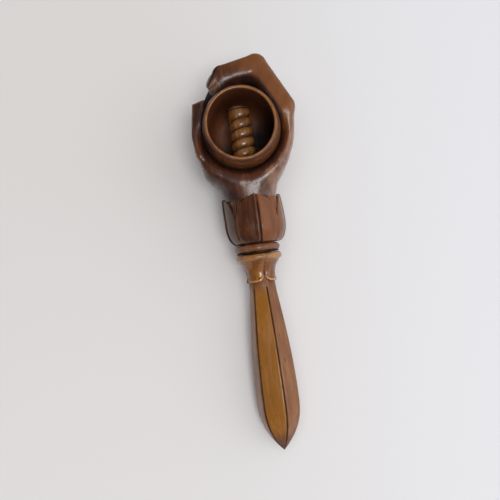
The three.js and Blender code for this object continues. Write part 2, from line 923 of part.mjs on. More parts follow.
function gripRows() {
  const rows = [];
  const neckRows = 4;
  const bodyRows = 7;
  const pointRows = 9;
  for (let row = 0; row < neckRows; row++) {
    rows.push(gripRow(mix(gripNeckDistance, gripShoulderDistance, row / neckRows)));
  }
  for (let row = 0; row < bodyRows; row++) {
    rows.push(gripRow(mix(gripShoulderDistance, gripBellyDistance, row / bodyRows)));
  }
  for (let row = 0; row < pointRows; row++) {
    const share = Math.sin((row / pointRows) * Math.PI / 2);
    rows.push(gripRow(mix(gripBellyDistance, gripTipDistance, share)));
  }
  return rows;
}

function handleGrip() {
  const socketEnd = gripNeckDistance + tenonDepthInGrip + seamGap;
  const socket = post(gripSocketRadius, gripNeckDistance - overrun, socketEnd);
  return geometryOf(solidOf(skin(gripRows())).subtract(solidOf(socket)));
}

// The angle at which the press lies on the edge of the cup's base and on the grip.
function restingAngle() {
  const baseEdge = cupBaseRadius * cupOvalShare;
  const angles = gripRows()
    .flat()
    .map((point) => Math.atan2(cupBaseDrop + point.z, -point.y - baseEdge));
  return Math.min(...angles);
}

function piece(name, geometry, color, roughness) {
  const material = new THREE.MeshStandardMaterial({ color, roughness, metalness: 0 });
  const mesh = new THREE.Mesh(geometry, material);
  mesh.name = name;
  return mesh;
}

const darkWalnut = 0x5a2c18;
const redWalnut = 0x6b351d;
const paleFruitwood = 0xa8713a;
const goldenFruitwood = 0xb0702a;

const press = new THREE.Group();
press.add(piece("fist", fist(), darkWalnut, 0.35));
press.add(piece("nut_cup", plainGeometry(nutCup()), redWalnut, 0.35));
press.add(piece("petal_cuff", plainGeometry(petalCuff()), redWalnut, 0.4));
press.add(piece("cuff_ring", plainGeometry(cuffRing()), redWalnut, 0.4));
press.add(piece("screw", screw(), paleFruitwood, 0.45));
press.add(piece("screw_nose", plainGeometry(screwNose()), paleFruitwood, 0.45));
press.add(piece("handle_collar", plainGeometry(handleCollar()), goldenFruitwood, 0.35));
press.add(piece("handle_grip", handleGrip(), goldenFruitwood, 0.35));
press.rotation.x = restingAngle();

// The origin is on the table, below the middle of the press.
const nutcracker = new THREE.Group();
nutcracker.add(press);
const box = new THREE.Box3().setFromObject(nutcracker, true);
const middle = box.getCenter(new THREE.Vector3());
press.position.set(-middle.x, -middle.y, -box.min.z);

export default nutcracker;
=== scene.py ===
# The looks of a carved wooden screw nutcracker: a clenched hand holding a round cup, a petal cuff,
# and a screw with a collar and a six-sided grip.
#
# The pieces are made in the press's own frame, in millimetres: the cup's axis is Z, open upwards,
# the screw's axis is Y, and the handle lies towards -Y. "Distance" is measured from the cup's axis
# towards the handle. placed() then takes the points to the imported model's frame, in metres.

import functools
import json

import bmesh
import bpy
import numpy as np
from mathutils import Matrix, Vector


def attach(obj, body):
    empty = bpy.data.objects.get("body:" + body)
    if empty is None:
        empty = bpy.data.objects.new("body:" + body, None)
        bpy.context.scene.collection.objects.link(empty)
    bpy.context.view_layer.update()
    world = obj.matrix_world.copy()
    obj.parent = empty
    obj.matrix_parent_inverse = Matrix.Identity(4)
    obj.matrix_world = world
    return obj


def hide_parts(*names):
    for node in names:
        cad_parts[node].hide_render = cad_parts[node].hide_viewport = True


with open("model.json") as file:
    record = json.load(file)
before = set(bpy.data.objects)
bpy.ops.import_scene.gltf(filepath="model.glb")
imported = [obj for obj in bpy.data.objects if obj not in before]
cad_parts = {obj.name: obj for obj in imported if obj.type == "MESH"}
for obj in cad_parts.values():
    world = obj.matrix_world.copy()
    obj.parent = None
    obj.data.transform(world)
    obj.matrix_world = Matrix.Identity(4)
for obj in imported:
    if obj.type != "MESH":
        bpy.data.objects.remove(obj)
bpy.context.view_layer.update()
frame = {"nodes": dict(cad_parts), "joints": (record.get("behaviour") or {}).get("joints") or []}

# The press's own frame, from the joint that turns the screw.

MM = 0.001
SCREW_TURN = next(joint for joint in frame["joints"] if joint["name"] == "screw_turn")
ORIGIN = np.array(SCREW_TURN["pos_m"])
ALONG = -np.array(SCREW_TURN["axis"])
ACROSS = np.array([1.0, 0.0, 0.0])
AXES = np.array([ACROSS, ALONG, np.cross(ACROSS, ALONG)])
GRAIN_TILT = float(np.arctan2(ALONG[2], ALONG[1]))


def placed(points):
    return ORIGIN + (np.asarray(points, float) * MM) @ AXES


def cad_span(node):
    """The lowest and highest corner of a CAD node in the press's own frame, in millimetres."""
    mesh = frame["nodes"][node].data
    corners = np.empty(len(mesh.vertices) * 3)
    mesh.vertices.foreach_get("co", corners)
    own = (corners.reshape(-1, 3) - ORIGIN) @ AXES.T / MM
    return own.min(0), own.max(0)


CUP_LOW, CUP_HIGH = cad_span("nut_cup")
CUFF_LOW, CUFF_HIGH = cad_span("petal_cuff")
RING_LOW, RING_HIGH = cad_span("cuff_ring")
SCREW_LOW, SCREW_HIGH = cad_span("screw")
NOSE_LOW, NOSE_HIGH = cad_span("screw_nose")
COLLAR_LOW, COLLAR_HIGH = cad_span("handle_collar")
GRIP_LOW, GRIP_HIGH = cad_span("handle_grip")

# The gap at a glued seam and round the cup, and how far the pieces stay inside the solids.
SEAM = 0.3
CUP_FIT = 0.12
INSET = 0.05
FINE_INSET = 0.02

# The cup: a barrel that is a little longer along the handle than across it.
RIM_HEIGHT = CUP_HIGH[2] - INSET
BASE_HEIGHT = CUP_LOW[2] + INSET
OVAL = 1.035
BELLY_RADIUS = CUP_HIGH[1] / OVAL - INSET
BELLY_HEIGHT = 3.0
RIM_RADIUS = 16.65
BASE_RADIUS = 14.4
MOUTH_RADIUS = 15.2
CHAMBER_RADIUS = 16.2
CHAMBER_FLOOR_RADIUS = 9.0
CHAMBER_FLOOR = -16.5
CUP_ROWS = 60
FLOOR_DISH = 0.4

# What is cut into the cup: a band of fine slanting lines below the rim. A crack at a place on it is
# not cut, only painted, as a thin highlight.
HATCH_LINES = 104
HATCH_LEAN = 0.9
HATCH_DEPTH = 0.16
BAND_LOW = 8.0
BAND_FULL = 11.0
BAND_END = 1.4
CRACK = (17.0, 6.6)
CRACK_ANGLE = 0.02

# The cuff's ring.
RING_ROUNDING = 1.5
RING_FOOT_LENGTH = 0.5
RING_FOOT_RADIUS = 10.2

# The screw.
SCREW_RADIUS = SCREW_HIGH[0] - FINE_INSET
PITCH = 4.8
FIRST_GROOVE = 5.75
GROOVE_DEPTH = 1.2
TENON_RADIUS = 4.15
THREAD_PAST_COLLAR = 0.35
END_SHARE = 0.985
NOSE_LENGTH = 2.1
NOSE_FLAT = 1.6
AXIS_HOLE = 0.05
BORE_RADIUS = 6.25
CUP_BORE = (3, 25)

# The wrist, as [distance, radius]: it grows out of the hand, and narrows to a tenon inside the cuff.
WRIST_SIDE = np.array([
    [19.0, 7.8], [23.5, 9.5], [28.0, 12.1], [30.0, 12.15], [40.0, 10.55], [46.9, 7.75], [55.0, 7.75],
])

FINE = 1

QUARTER = np.pi / 2


# Mesh making


def soft_min(a, b, blend):
    share = np.clip(0.5 + 0.5 * (b - a) / blend, 0, 1)
    return b + (a - b) * share - blend * share * (1 - share)


def soft_max(a, b, blend):
    return -soft_min(-a, -b, blend)


def joined(shapes, blend):
    """Fields joined softly, one after another."""
    return functools.reduce(lambda a, b: soft_min(a, b, blend), shapes)


def smooth(start, end, value):
    share = np.clip((value - start) / (end - start), 0, 1)
    return share * share * (3 - 2 * share)


def mix(a, b, share):
    return a + (b - a) * share


def grid_quads(rows, columns, rows_meet=False):
    """Quads over a grid whose columns close on themselves, and whose rows may do so too."""
    row = np.arange(rows if rows_meet else rows - 1)[:, None]
    column = np.arange(columns)[None, :]
    beside = (column + 1) % columns
    after = (row + 1) % rows
    here, next_row = row * columns, after * columns
    corners = [here + column, here + beside, next_row + beside, next_row + column]
    return np.stack([np.broadcast_to(corner, (len(row), columns)) for corner in corners], -1).reshape(-1, 4)


def circle(columns):
    """The angles of evenly spaced columns round a full turn."""
    return np.arange(columns) / columns * 2 * np.pi


def end_caps(rows, columns):
    """The two faces that close the ends of a grid whose columns run round an axis."""
    return [list(range(columns))[::-1], [(rows - 1) * columns + i for i in range(columns)]]


def about_screw(radius, distance, angle):
    """Points round the screw's axis. The angle is 0 on top and grows to the right."""
    x = radius * np.sin(angle)
    y = np.broadcast_to(-distance, x.shape)
    return np.stack([x, y, radius * np.cos(angle)], -1).reshape(-1, 3)


def surface_nets(field, low, high, step):
    """Points and quads on the zero level of a field that is negative inside."""
    axes = [np.arange(a, b + step, step) for a, b in zip(low, high)]
    shape = tuple(len(axis) for axis in axes)
    lattice = np.stack(np.meshgrid(*axes, indexing="ij"), -1)
    values = field(lattice.reshape(-1, 3)).reshape(shape)
    inside = values < 0
    offsets = np.array([[i, j, k] for i in (0, 1) for j in (0, 1) for k in (0, 1)])
    cells = tuple(length - 1 for length in shape)
    filled = np.zeros(cells, np.int8)
    for i, j, k in offsets:
        filled += inside[i:i + cells[0], j:j + cells[1], k:k + cells[2]]
    active = np.argwhere((filled > 0) & (filled < len(offsets)))
    number = np.full(cells, -1, np.int64)
    number[tuple(active.T)] = np.arange(len(active))
    corner = active[:, None, :] + offsets[None]
    at = values[corner[..., 0], corner[..., 1], corner[..., 2]]
    total = np.zeros((len(active), 3))
    crossings = np.zeros(len(active))
    for a in range(len(offsets)):
        for b in range(a + 1, len(offsets)):
            if np.abs(offsets[a] - offsets[b]).sum() != 1:
                continue
            cut = (at[:, a] < 0) != (at[:, b] < 0)
            share = np.where(cut, at[:, a] / np.where(cut, at[:, a] - at[:, b], 1), 0)
            total += cut[:, None] * (offsets[a] + share[:, None] * (offsets[b] - offsets[a]))
            crossings += cut
    points = np.array(low) + step * (active + total / crossings[:, None])
    quads = []
    for axis in range(3):
        u, v = (axis + 1) % 3, (axis + 2) % 3
        ahead = np.roll(inside, -1, axis)
        change = inside != ahead
        for other, last in ((axis, -1), (u, 0), (v, 0), (u, -1), (v, -1)):
            edge = [slice(None)] * 3
            edge[other] = last
            change[tuple(edge)] = False
        at_edge = np.argwhere(change)
        around = []
        for du, dv in ((-1, -1), (0, -1), (0, 0), (-1, 0)):
            cell = at_edge.copy()
            cell[:, u] += du
            cell[:, v] += dv
            around.append(number[tuple(cell.T)])
        around = np.stack(around, -1)
        leaving = inside[tuple(at_edge.T)]
        quads.append(np.where(leaving[:, None], around, around[:, ::-1]))
    return points, np.concatenate(quads)


def neighbour_mean(points, quads):
    ends = np.concatenate([quads[:, [i, (i + 1) % 4]] for i in range(4)])
    ends = np.concatenate([ends, ends[:, ::-1]])
    count = np.bincount(ends[:, 0], minlength=len(points))
    mean = [np.bincount(ends[:, 0], points[ends[:, 1], i], len(points)) for i in range(points.shape[1])]
    return np.stack(mean, -1) / np.maximum(count, 1)[:, None]


def gradient(field, points, step=0.05):
    slopes = [field(points + step * axis) - field(points - step * axis) for axis in np.eye(3)]
    return np.stack(slopes, -1) / (2 * step)


def carved(field, low, high, step, passes=3):
    """A closed skin of a field: its nets are evened out and drawn onto the exact surface."""
    points, quads = surface_nets(field, low, high, step)
    for _ in range(passes):
        points = mix(points, neighbour_mean(points, quads), 0.5)
        slope = gradient(field, points)
        size = np.maximum((slope ** 2).sum(-1), 0.2)
        move = np.clip(field(points) / size, -step, step)
        points = points - move[:, None] * slope
    return points, quads


def point_normals(points, quads):
    across = np.cross(points[quads[:, 2]] - points[quads[:, 0]], points[quads[:, 3]] - points[quads[:, 1]])
    normals = np.zeros_like(points)
    for corner in range(4):
        for i in range(3):
            normals[:, i] += np.bincount(quads[:, corner], across[:, i], len(points))
    return normals / np.maximum(np.linalg.norm(normals, axis=1), 1e-9)[:, None]


def hollows(points, quads, rounds):
    """How far each point lies below the evened skin, in millimetres. It is negative on edges.

    The faces of the ring, the screw and the collar look inward, so there it is the other way round.
    """
    even = points
    for _ in range(rounds):
        even = mix(even, neighbour_mean(even, quads), 0.8)
    return ((even - points) * point_normals(points, quads)).sum(-1)


def spread(values, quads, rounds):
    for _ in range(rounds):
        values = mix(values, neighbour_mean(values[:, None], quads)[:, 0], 0.7)
    return values


def new_object(name, data):
    made = bpy.data.objects.new(name, data)
    bpy.context.scene.collection.objects.link(made)
    return made


def add_piece(name, points, quads, material, body, node, tone=0.0, dirt_and_shade=0.0, worn_and_lit=0.0, full_depth=0.35,
              extra_faces=()):
    """One smooth-shaded piece, with what its material reads: cavity, wear and sheen, and tone.

    The cavity follows the hollows, as painted shade with some grime, and the wear the edges. The
    darkening and lightening passed in add to these: painted shade and dirt to the cavity, wear and painted
    highlights to the wear. full_depth is how deep a hollow in millimetres is fully darkened.
    """
    mesh = bpy.data.meshes.new(name)
    mesh.from_pydata(placed(points).tolist(), [], quads.tolist() + list(extra_faces))
    mesh.update()
    mesh.shade_smooth()
    # Darker in the hollows: painted shade, with some grime. Lighter on the edges: wear.
    depth = hollows(points, quads, 12) / full_depth
    near = hollows(points, quads, 3) / (full_depth * 0.4)
    cavity = np.maximum(spread(np.clip(np.maximum(depth, near), 0, 1), quads, 2), np.ravel(dirt_and_shade))
    wear_and_sheen = np.maximum(spread(np.clip(-depth, 0, 1), quads, 1), np.ravel(worn_and_lit))
    tone = np.zeros(len(points)) + np.ravel(tone)
    for attribute, values in (("cavity", cavity), ("wear_and_sheen", wear_and_sheen), ("tone", tone)):
        layer = mesh.attributes.new(attribute, "FLOAT", "POINT")
        layer.data.foreach_set("value", values.astype(np.float32))
    piece = new_object(name, mesh)
    piece.data.materials.append(material)
    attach(piece, body)
    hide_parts(node)
    return piece


def bored(piece, start, end, columns=96):
    """Cuts the screw's hole through a piece, from one distance to another."""
    ends = np.array([[start], [end]])
    points = about_screw(np.full(ends.shape, BORE_RADIUS), ends, circle(columns))
    mesh = bpy.data.meshes.new("bore")
    mesh.from_pydata(placed(points).tolist(), [], grid_quads(2, columns).tolist() + end_caps(2, columns))
    shape = bmesh.new()
    shape.from_mesh(mesh)
    bmesh.ops.recalc_face_normals(shape, faces=shape.faces)
    shape.to_mesh(mesh)
    shape.free()
    cutter = new_object("bore", mesh)
    cut = piece.modifiers.new("bore", "BOOLEAN")
    cut.operation = "DIFFERENCE"
    cut.object = cutter
    uncut = piece.data
    ready = piece.evaluated_get(bpy.context.evaluated_depsgraph_get())
    piece.data = bpy.data.meshes.new_from_object(ready)
    piece.modifiers.clear()
    piece.data.set_sharp_from_angle(angle=np.radians(60))
    bpy.data.objects.remove(cutter)
    bpy.data.meshes.remove(mesh)
    bpy.data.meshes.remove(uncut)


def smoothed(outline, rounds=3):
    """A closed outline with its corners cut again and again."""
    outline = np.asarray(outline, float)
    for _ in range(rounds):
        after = np.roll(outline, -1, 0)
        outline = np.stack([mix(outline, after, 0.25), mix(outline, after, 0.75)], 1).reshape(-1, 2)
    return outline


def outline_distance(outline, margin=14.0, step=0.4):
    """What reads the distance to a closed outline in the plane across Z, negative inside."""
    start = smoothed(outline)
    end = np.roll(start, -1, 0)
    low = start.min(0) - margin
    axes = [np.arange(low[i], start[:, i].max() + margin, step) for i in range(2)]
    x, y = np.meshgrid(*axes, indexing="ij")
    nearest = np.full(x.shape, np.inf)
    inside = np.zeros(x.shape, bool)
    for (x0, y0), (x1, y1) in zip(start, end):
        dx, dy = x1 - x0, y1 - y0
        share = np.clip(((x - x0) * dx + (y - y0) * dy) / (dx * dx + dy * dy), 0, 1)
        nearest = np.minimum(nearest, np.hypot(x - x0 - share * dx, y - y0 - share * dy))
        if y0 != y1:
            inside ^= ((y0 > y) != (y1 > y)) & (x < x0 + (y - y0) * dx / dy)
    table = np.where(inside, -nearest, nearest)

    def read(points):
        at = (points[:, :2] - low) / step
        cell = np.clip(np.floor(at).astype(int), 0, np.array(table.shape) - 2)
        u, v = np.clip(at - cell, 0, 1).T
        i, j = cell.T
        return mix(mix(table[i, j], table[i + 1, j], u), mix(table[i, j + 1], table[i + 1, j + 1], u), v)

    return read


def turned(profile, columns):
    """Points and quads of a piece turned about the screw's axis, from a closed list of [radius, distance]."""
    points = about_screw(profile[:, :1], profile[:, 1:], circle(columns))
    return points, grid_quads(len(profile), columns, rows_meet=True)


def resampled(points, count):
    closed = np.vstack([points, points[:1]])
    length = np.concatenate([[0], np.cumsum(np.linalg.norm(np.diff(closed, axis=0), axis=1))])
    wanted = np.linspace(0, length[-1], count, endpoint=False)
    return np.stack([np.interp(wanted, length, closed[:, i]) for i in range(2)], -1)


# Materials


class Nodes:
    """Short calls for building one tree of shader nodes."""

    def __init__(self, tree, coordinate="Object"):
        self.tree = tree
        self.coordinate = tree.nodes.new("ShaderNodeTexCoord").outputs[coordinate]

    def link(self, source, target):
        """Joins an output to a socket, or sets the socket where the source is a plain value."""
        if hasattr(source, "bl_idname"):
            self.tree.links.new(source, target)
        else:
            target.default_value = source

    def node(self, kind, inputs, **settings):
        """The outputs of a new node, whose inputs are linked or set by their names or numbers."""
        node = self.tree.nodes.new("ShaderNode" + kind)
        for name, value in settings.items():
            setattr(node, name, value)
        for socket, source in inputs.items():
            self.link(source, node.inputs[socket])
        return node.outputs

    def coordinates(self):
        """The outputs X, Y and Z of the tree's coordinate."""
        return self.node("SeparateXYZ", {0: self.coordinate})

    def along_grain(self, stretch):
        inputs = {"Vector": self.coordinate, "Rotation": (GRAIN_TILT, 0, 0), "Scale": (1, stretch, 1)}
        return self.node("Mapping", inputs, vector_type="TEXTURE")["Vector"]

    def noise(self, size_mm, stretch, detail=3, roughness=0.55, distortion=0.0):
        inputs = {
            "Vector": self.along_grain(stretch), "Scale": 1 / (size_mm * MM), "Detail": detail,
            "Roughness": roughness, "Distortion": distortion,
        }
        return self.node("TexNoise", inputs)["Fac"]

    def rings(self, size_mm, stretch, distortion):
        inputs = {
            "Vector": self.along_grain(stretch), "Scale": 1 / (size_mm * MM) / WAVES_A_UNIT,
            "Distortion": distortion, "Detail": 2, "Detail Scale": 0.6,
        }
        return self.node("TexWave", inputs, wave_type="RINGS", rings_direction="Y")["Fac"]

    def ranged(self, value, low, high, to_low=0.0, to_high=1.0):
        inputs = {"Value": value, "From Min": low, "From Max": high, "To Min": to_low, "To Max": to_high}
        return self.node("MapRange", inputs, interpolation_type="SMOOTHSTEP")["Result"]

    def math(self, operation, a, b):
        return self.node("Math", {0: a, 1: b}, operation=operation)["Value"]

    def product(self, a, b):
        return self.math("MULTIPLY", a, b)

    def blend(self, a, b, share):
        inputs = {"Factor": share, MIX_COLOUR_A: a, MIX_COLOUR_B: b}
        return self.node("Mix", inputs, data_type="RGBA")[MIX_COLOUR_RESULT]

    def attribute(self, name):
        return self.node("Attribute", {}, attribute_name=name)["Fac"]

    def bump(self, height, strength, distance_mm, normal):
        inputs = {"Height": height, "Strength": strength, "Distance": distance_mm * MM}
        if normal is not None:
            inputs["Normal"] = normal
        return self.node("Bump", inputs)["Normal"]


# The wave texture's own waves to a unit of scale, and the mix node's colour sockets by number.
WAVES_A_UNIT = 20
MIX_COLOUR_A = 6
MIX_COLOUR_B = 7
MIX_COLOUR_RESULT = 2


def srgb(red, green, blue):
    """A colour written as 0 to 255 for the screen, as the shader needs it."""
    parts = np.array([red, green, blue]) / 255
    linear = np.where(parts <= 0.04045, parts / 12.92, ((parts + 0.055) / 1.055) ** 2.4)
    return (*linear.tolist(), 1)


def new_material(name, specular):
    """A material, with its tree of nodes and its shader."""
    material = bpy.data.materials.new(name)
    material.use_nodes = True
    shader = material.node_tree.nodes["Principled BSDF"]
    shader.inputs["Specular IOR Level"].default_value = specular
    return material, Nodes(material.node_tree), shader


# The wood's figure. Each size is across the grain, and stretched along it.
PATCHES = {"size_mm": 11, "stretch": 2.2, "distortion": 0.4}
STREAKS = {"size_mm": 1.6, "stretch": 9, "detail": 4, "roughness": 0.6}
YEAR_RINGS = {"size_mm": 5.0, "stretch": 6, "distortion": 3.5}
FIBRES = {"size_mm": 0.34, "stretch": 22, "detail": 2, "roughness": 0.7}
PORES = {"size_mm": 0.26, "stretch": 22, "detail": 1}
CLOUDS = {"size_mm": 4.5, "stretch": 1.3, "detail": 4}
SPECKS = {"size_mm": 2.6, "stretch": 1.6, "detail": 2}
DULL_SPOTS = {"size_mm": 3.0, "stretch": 3, "detail": 4}
DENTS = {"size_mm": 5.0, "stretch": 1.5, "detail": 2}

# How strongly the figure colours the wood.
STREAK_SHARE = 0.75
RING_SHARE = 0.4
FIBRE_SHARE = 0.3
PORE_SHARE = 0.45
WEAR_AND_SHEEN_SHARE = 0.75
GRIME_AND_SHADE_SHARE = 0.93


def wood(name, dark, middle, light, grime_and_shade, worn_and_lit, toned, gloss, grain=1.0, specks=0.0, coat=1.0,
         coat_roughness=0.16):
    """Polished old wood. toned is the colour where the tone is 1: on some pieces, painted light or shade."""
    material, nodes, shader = new_material(name, specular=0.25)
    patches = nodes.noise(**PATCHES)
    streaks = nodes.noise(**STREAKS)
    fibres = nodes.noise(**FIBRES)
    clouds = nodes.noise(**CLOUDS)
    pores = nodes.ranged(nodes.noise(**PORES), 0.62, 0.72)
    rings = nodes.ranged(nodes.rings(**YEAR_RINGS), 0.55, 1.0)
    tone = nodes.product(nodes.attribute("tone"), nodes.ranged(patches, 0.2, 0.6, 0.7, 1.0))
    wear_and_sheen = nodes.product(nodes.attribute("wear_and_sheen"), nodes.ranged(clouds, 0.3, 0.7, 0.6, 1.05))
    cavity = nodes.product(nodes.attribute("cavity"), nodes.ranged(clouds, 0.3, 0.7, 1.1, 0.75))
    layers = [
        (middle, nodes.ranged(patches, 0.32, 0.62)),
        (toned, tone),
        (light, nodes.product(nodes.ranged(streaks, 0.45, 0.75), STREAK_SHARE * grain)),
        (dark, nodes.product(rings, RING_SHARE * grain)),
        (light, nodes.product(nodes.ranged(fibres, 0.5, 0.8), FIBRE_SHARE * grain)),
        # Lighter with wear and with painted highlights and sheen; darker with grime and with painted shade.
        (worn_and_lit, nodes.ranged(wear_and_sheen, 0.25, 1.0, 0.0, WEAR_AND_SHEEN_SHARE)),
        (grime_and_shade, nodes.ranged(cavity, 0.05, 0.8, 0.0, GRIME_AND_SHADE_SHARE)),
        (grime_and_shade, nodes.product(pores, PORE_SHARE)),
    ]
    if specks:
        spots = nodes.ranged(nodes.noise(**SPECKS), 0.68, 0.74)
        layers.append((grime_and_shade, nodes.product(spots, specks)))
    colour = dark
    for layer, share in layers:
        colour = nodes.blend(colour, layer, share)
    nodes.link(colour, shader.inputs["Base Color"])
    rough = nodes.ranged(nodes.noise(**DULL_SPOTS), 0.3, 0.7, gloss - 0.06, gloss + 0.1)
    nodes.link(nodes.math("ADD", rough, nodes.product(cavity, 0.3)), shader.inputs["Roughness"])
    normal = None
    for height, strength, depth_mm in (
        (streaks, 0.35, 0.12), (fibres, 0.25, 0.05), (pores, 0.5, -0.05), (nodes.noise(**DENTS), 0.32, 0.35),
    ):
        normal = nodes.bump(height, strength, depth_mm, normal)
    nodes.link(normal, shader.inputs["Normal"])
    nodes.link(normal, shader.inputs["Coat Normal"])
    clear_of_grime_and_shade = nodes.math("SUBTRACT", 1.0, nodes.ranged(cavity, 0.1, 0.8))
    nodes.link(nodes.product(clear_of_grime_and_shade, coat), shader.inputs["Coat Weight"])
    shader.inputs["Coat Roughness"].default_value = coat_roughness
    return material


HAND_WOOD = wood(
    "hand_wood", dark=srgb(46, 18, 7), middle=srgb(74, 35, 14), light=srgb(114, 63, 26),
    grime_and_shade=srgb(29, 18, 20), worn_and_lit=srgb(152, 112, 88), toned=srgb(120, 68, 22), gloss=0.38, coat_roughness=0.23,
)
# The cup's toned colour is painted light, on the lit side of its inside and on its band's lower right.
CUP_WOOD = wood(
    "cup_wood", dark=srgb(58, 33, 23), middle=srgb(84, 52, 38), light=srgb(108, 70, 50),
    grime_and_shade=srgb(24, 15, 14), worn_and_lit=srgb(160, 102, 48), toned=srgb(112, 62, 38), gloss=0.36, grain=0.7, coat=0.4,
)
# The cuff's toned colour is painted light on its right side; the ring takes it as its own lighter colour.
CUFF_WOOD = wood(
    "cuff_wood", dark=srgb(54, 27, 13), middle=srgb(74, 39, 20), light=srgb(100, 58, 31),
    grime_and_shade=srgb(18, 9, 7), worn_and_lit=srgb(144, 104, 80), toned=srgb(122, 68, 28), gloss=0.33, grain=1.4, coat=0.4,
)
# The screw's toned colour is painted shade, on the lower edge of each thread and on the nose.
SCREW_WOOD = wood(
    "screw_wood", dark=srgb(92, 50, 22), middle=srgb(140, 94, 48), light=srgb(184, 138, 84),
    grime_and_shade=srgb(44, 22, 11), worn_and_lit=srgb(216, 178, 130), toned=srgb(58, 33, 20), gloss=0.28, grain=1.2,
)
COLLAR_WOOD = wood(
    "collar_wood", dark=srgb(90, 46, 10), middle=srgb(116, 66, 15), light=srgb(160, 102, 32),
    grime_and_shade=srgb(46, 22, 10), worn_and_lit=srgb(212, 152, 90), toned=srgb(140, 84, 66), gloss=0.27,
)
GRIP_WOOD = wood(
    "grip_wood", dark=srgb(108, 63, 30), middle=srgb(132, 84, 48), light=srgb(156, 106, 66),
    grime_and_shade=srgb(38, 18, 10), worn_and_lit=srgb(176, 130, 90), toned=srgb(142, 90, 20), gloss=0.36, specks=0.6,
    coat=0.4,
)


# The cup


def barrel_radius(height):
    end = np.where(height < BELLY_HEIGHT, BASE_HEIGHT, RIM_HEIGHT)
    end_radius = np.where(height < BELLY_HEIGHT, BASE_RADIUS, RIM_RADIUS)
    away = (height - BELLY_HEIGHT) / (end - BELLY_HEIGHT)
    return mix(BELLY_RADIUS, end_radius, away * away)


def cup_profile():
    """The cup's half section, as [radius, height], and which part each of its points belongs to.

    It runs from the middle of the foot round to the middle of the floor. The parts are 0 the foot,
    1 the outside, 2 the rim and 3 the inside.
    """
    foot = [[radius, BASE_HEIGHT] for radius in (0.4, 4, 8, 11, BASE_RADIUS - 1.0)]
    foot.append([BASE_RADIUS - 0.3, BASE_HEIGHT + 0.25])
    heights = np.linspace(BASE_HEIGHT + 0.9, RIM_HEIGHT - 0.8, CUP_ROWS)
    outside = [[barrel_radius(height), height] for height in heights]
    rim = [
        [RIM_RADIUS - 0.12, RIM_HEIGHT - 0.32],
        [RIM_RADIUS - 0.4, RIM_HEIGHT - 0.05],
        [(RIM_RADIUS + MOUTH_RADIUS) / 2, RIM_HEIGHT],
        [MOUTH_RADIUS + 0.3, RIM_HEIGHT - 0.1],
        [MOUTH_RADIUS + 0.06, RIM_HEIGHT - 0.4],
    ]
    inside = []
    for share in np.linspace(0.015, 1, CUP_ROWS):
        wall = mix(MOUTH_RADIUS, CHAMBER_FLOOR_RADIUS, share ** 5)
        wall += (CHAMBER_RADIUS - MOUTH_RADIUS) * np.sin(share * np.pi)
        inside.append([wall, mix(RIM_HEIGHT - 0.7, CHAMBER_FLOOR, np.sin(share * np.pi / 2) ** 0.8)])
    inside += [[radius, CHAMBER_FLOOR - FLOOR_DISH] for radius in (6, 3, 0.4)]
    parts = [foot, outside, rim, inside]
    part = np.repeat(range(len(parts)), [len(rows) for rows in parts])
    return np.array(foot + outside + rim + inside), part[:, None]


def add_cup():
    profile, part = cup_profile()
    columns = 720 // FINE
    angle = circle(columns)
    radius = np.repeat(profile[:, :1], columns, 1)
    height = np.repeat(profile[:, 1:], columns, 1)
    outside = part == 1
    inside = part == 3
    lower_right = smooth(-0.2, 0.5, np.cos(angle + 1.1))
    upper_left = smooth(-0.5, 0.8, np.cos(angle - np.radians(118)))
    uneven = 0.6 + 0.4 * np.sin(angle * 7 + 1) * np.sin(angle * 17 + height * 1.4)
    lines = np.sin(angle * HATCH_LINES + height * HATCH_LEAN)
    hatch = smooth(-0.6, 0.6, lines) * lower_right * uneven
    below_rim = smooth(RIM_HEIGHT - BAND_END, RIM_HEIGHT - BAND_END - 0.6, height)
    band = smooth(BAND_LOW, BAND_FULL, height) * below_rim * outside
    radius = radius - HATCH_DEPTH * hatch * band
    points = np.stack([radius * np.cos(angle), radius * np.sin(angle) * OVAL, height], -1).reshape(-1, 3)
    # Painted light, carried as tone: on the upper left of the inside, and on the band's lower right.
    golden = smooth(RIM_HEIGHT - 1, RIM_HEIGHT - 5, height) * inside * upper_left
    tone = golden + 0.8 * band * lower_right
    # Darker in the hatch's grooves; painted shade on the outside low down, where the hand closes round it,
    # and on the inside's right, away from the light.
    dirt_and_shade = np.maximum.reduce([
        0.5 * hatch * band,
        0.8 * smooth(9, 5, height) * outside,
        0.7 * smooth(RIM_HEIGHT - 1, RIM_HEIGHT - 4, height) * inside * (1 - upper_left),
    ])
    past_crack = (angle - np.arctan2(CRACK[1], CRACK[0])) % (2 * np.pi)
    # Wear on the rim's top; a painted highlight along the crack, and painted light on the band's lower right.
    worn_and_lit = np.maximum.reduce([
        smooth(RIM_HEIGHT - 0.5, RIM_HEIGHT - 0.1, height),
        np.exp(-(past_crack / CRACK_ANGLE) ** 2) * smooth(10, 14, height) * outside,
        0.75 * band * lower_right * (1 - hatch),
    ])
    cup = add_piece(
        "turned_cup", points, grid_quads(len(profile), columns), CUP_WOOD, "head", "nut_cup",
        tone, dirt_and_shade, worn_and_lit, full_depth=1.2, extra_faces=end_caps(len(profile), columns),
    )
    bored(cup, *CUP_BORE)


# The fist


def prism(points, a, b, radius_a, radius_b):
    """A rod between two places in the plane across the cup's axis, at every height, whose radius changes."""
    start = np.array(a)
    line = np.array(b) - start
    away = points[:, :2] - start
    share = np.clip(away @ line / (line @ line), 0, 1)
    return np.linalg.norm(away - share[:, None] * line, axis=1) - mix(radius_a, radius_b, share)


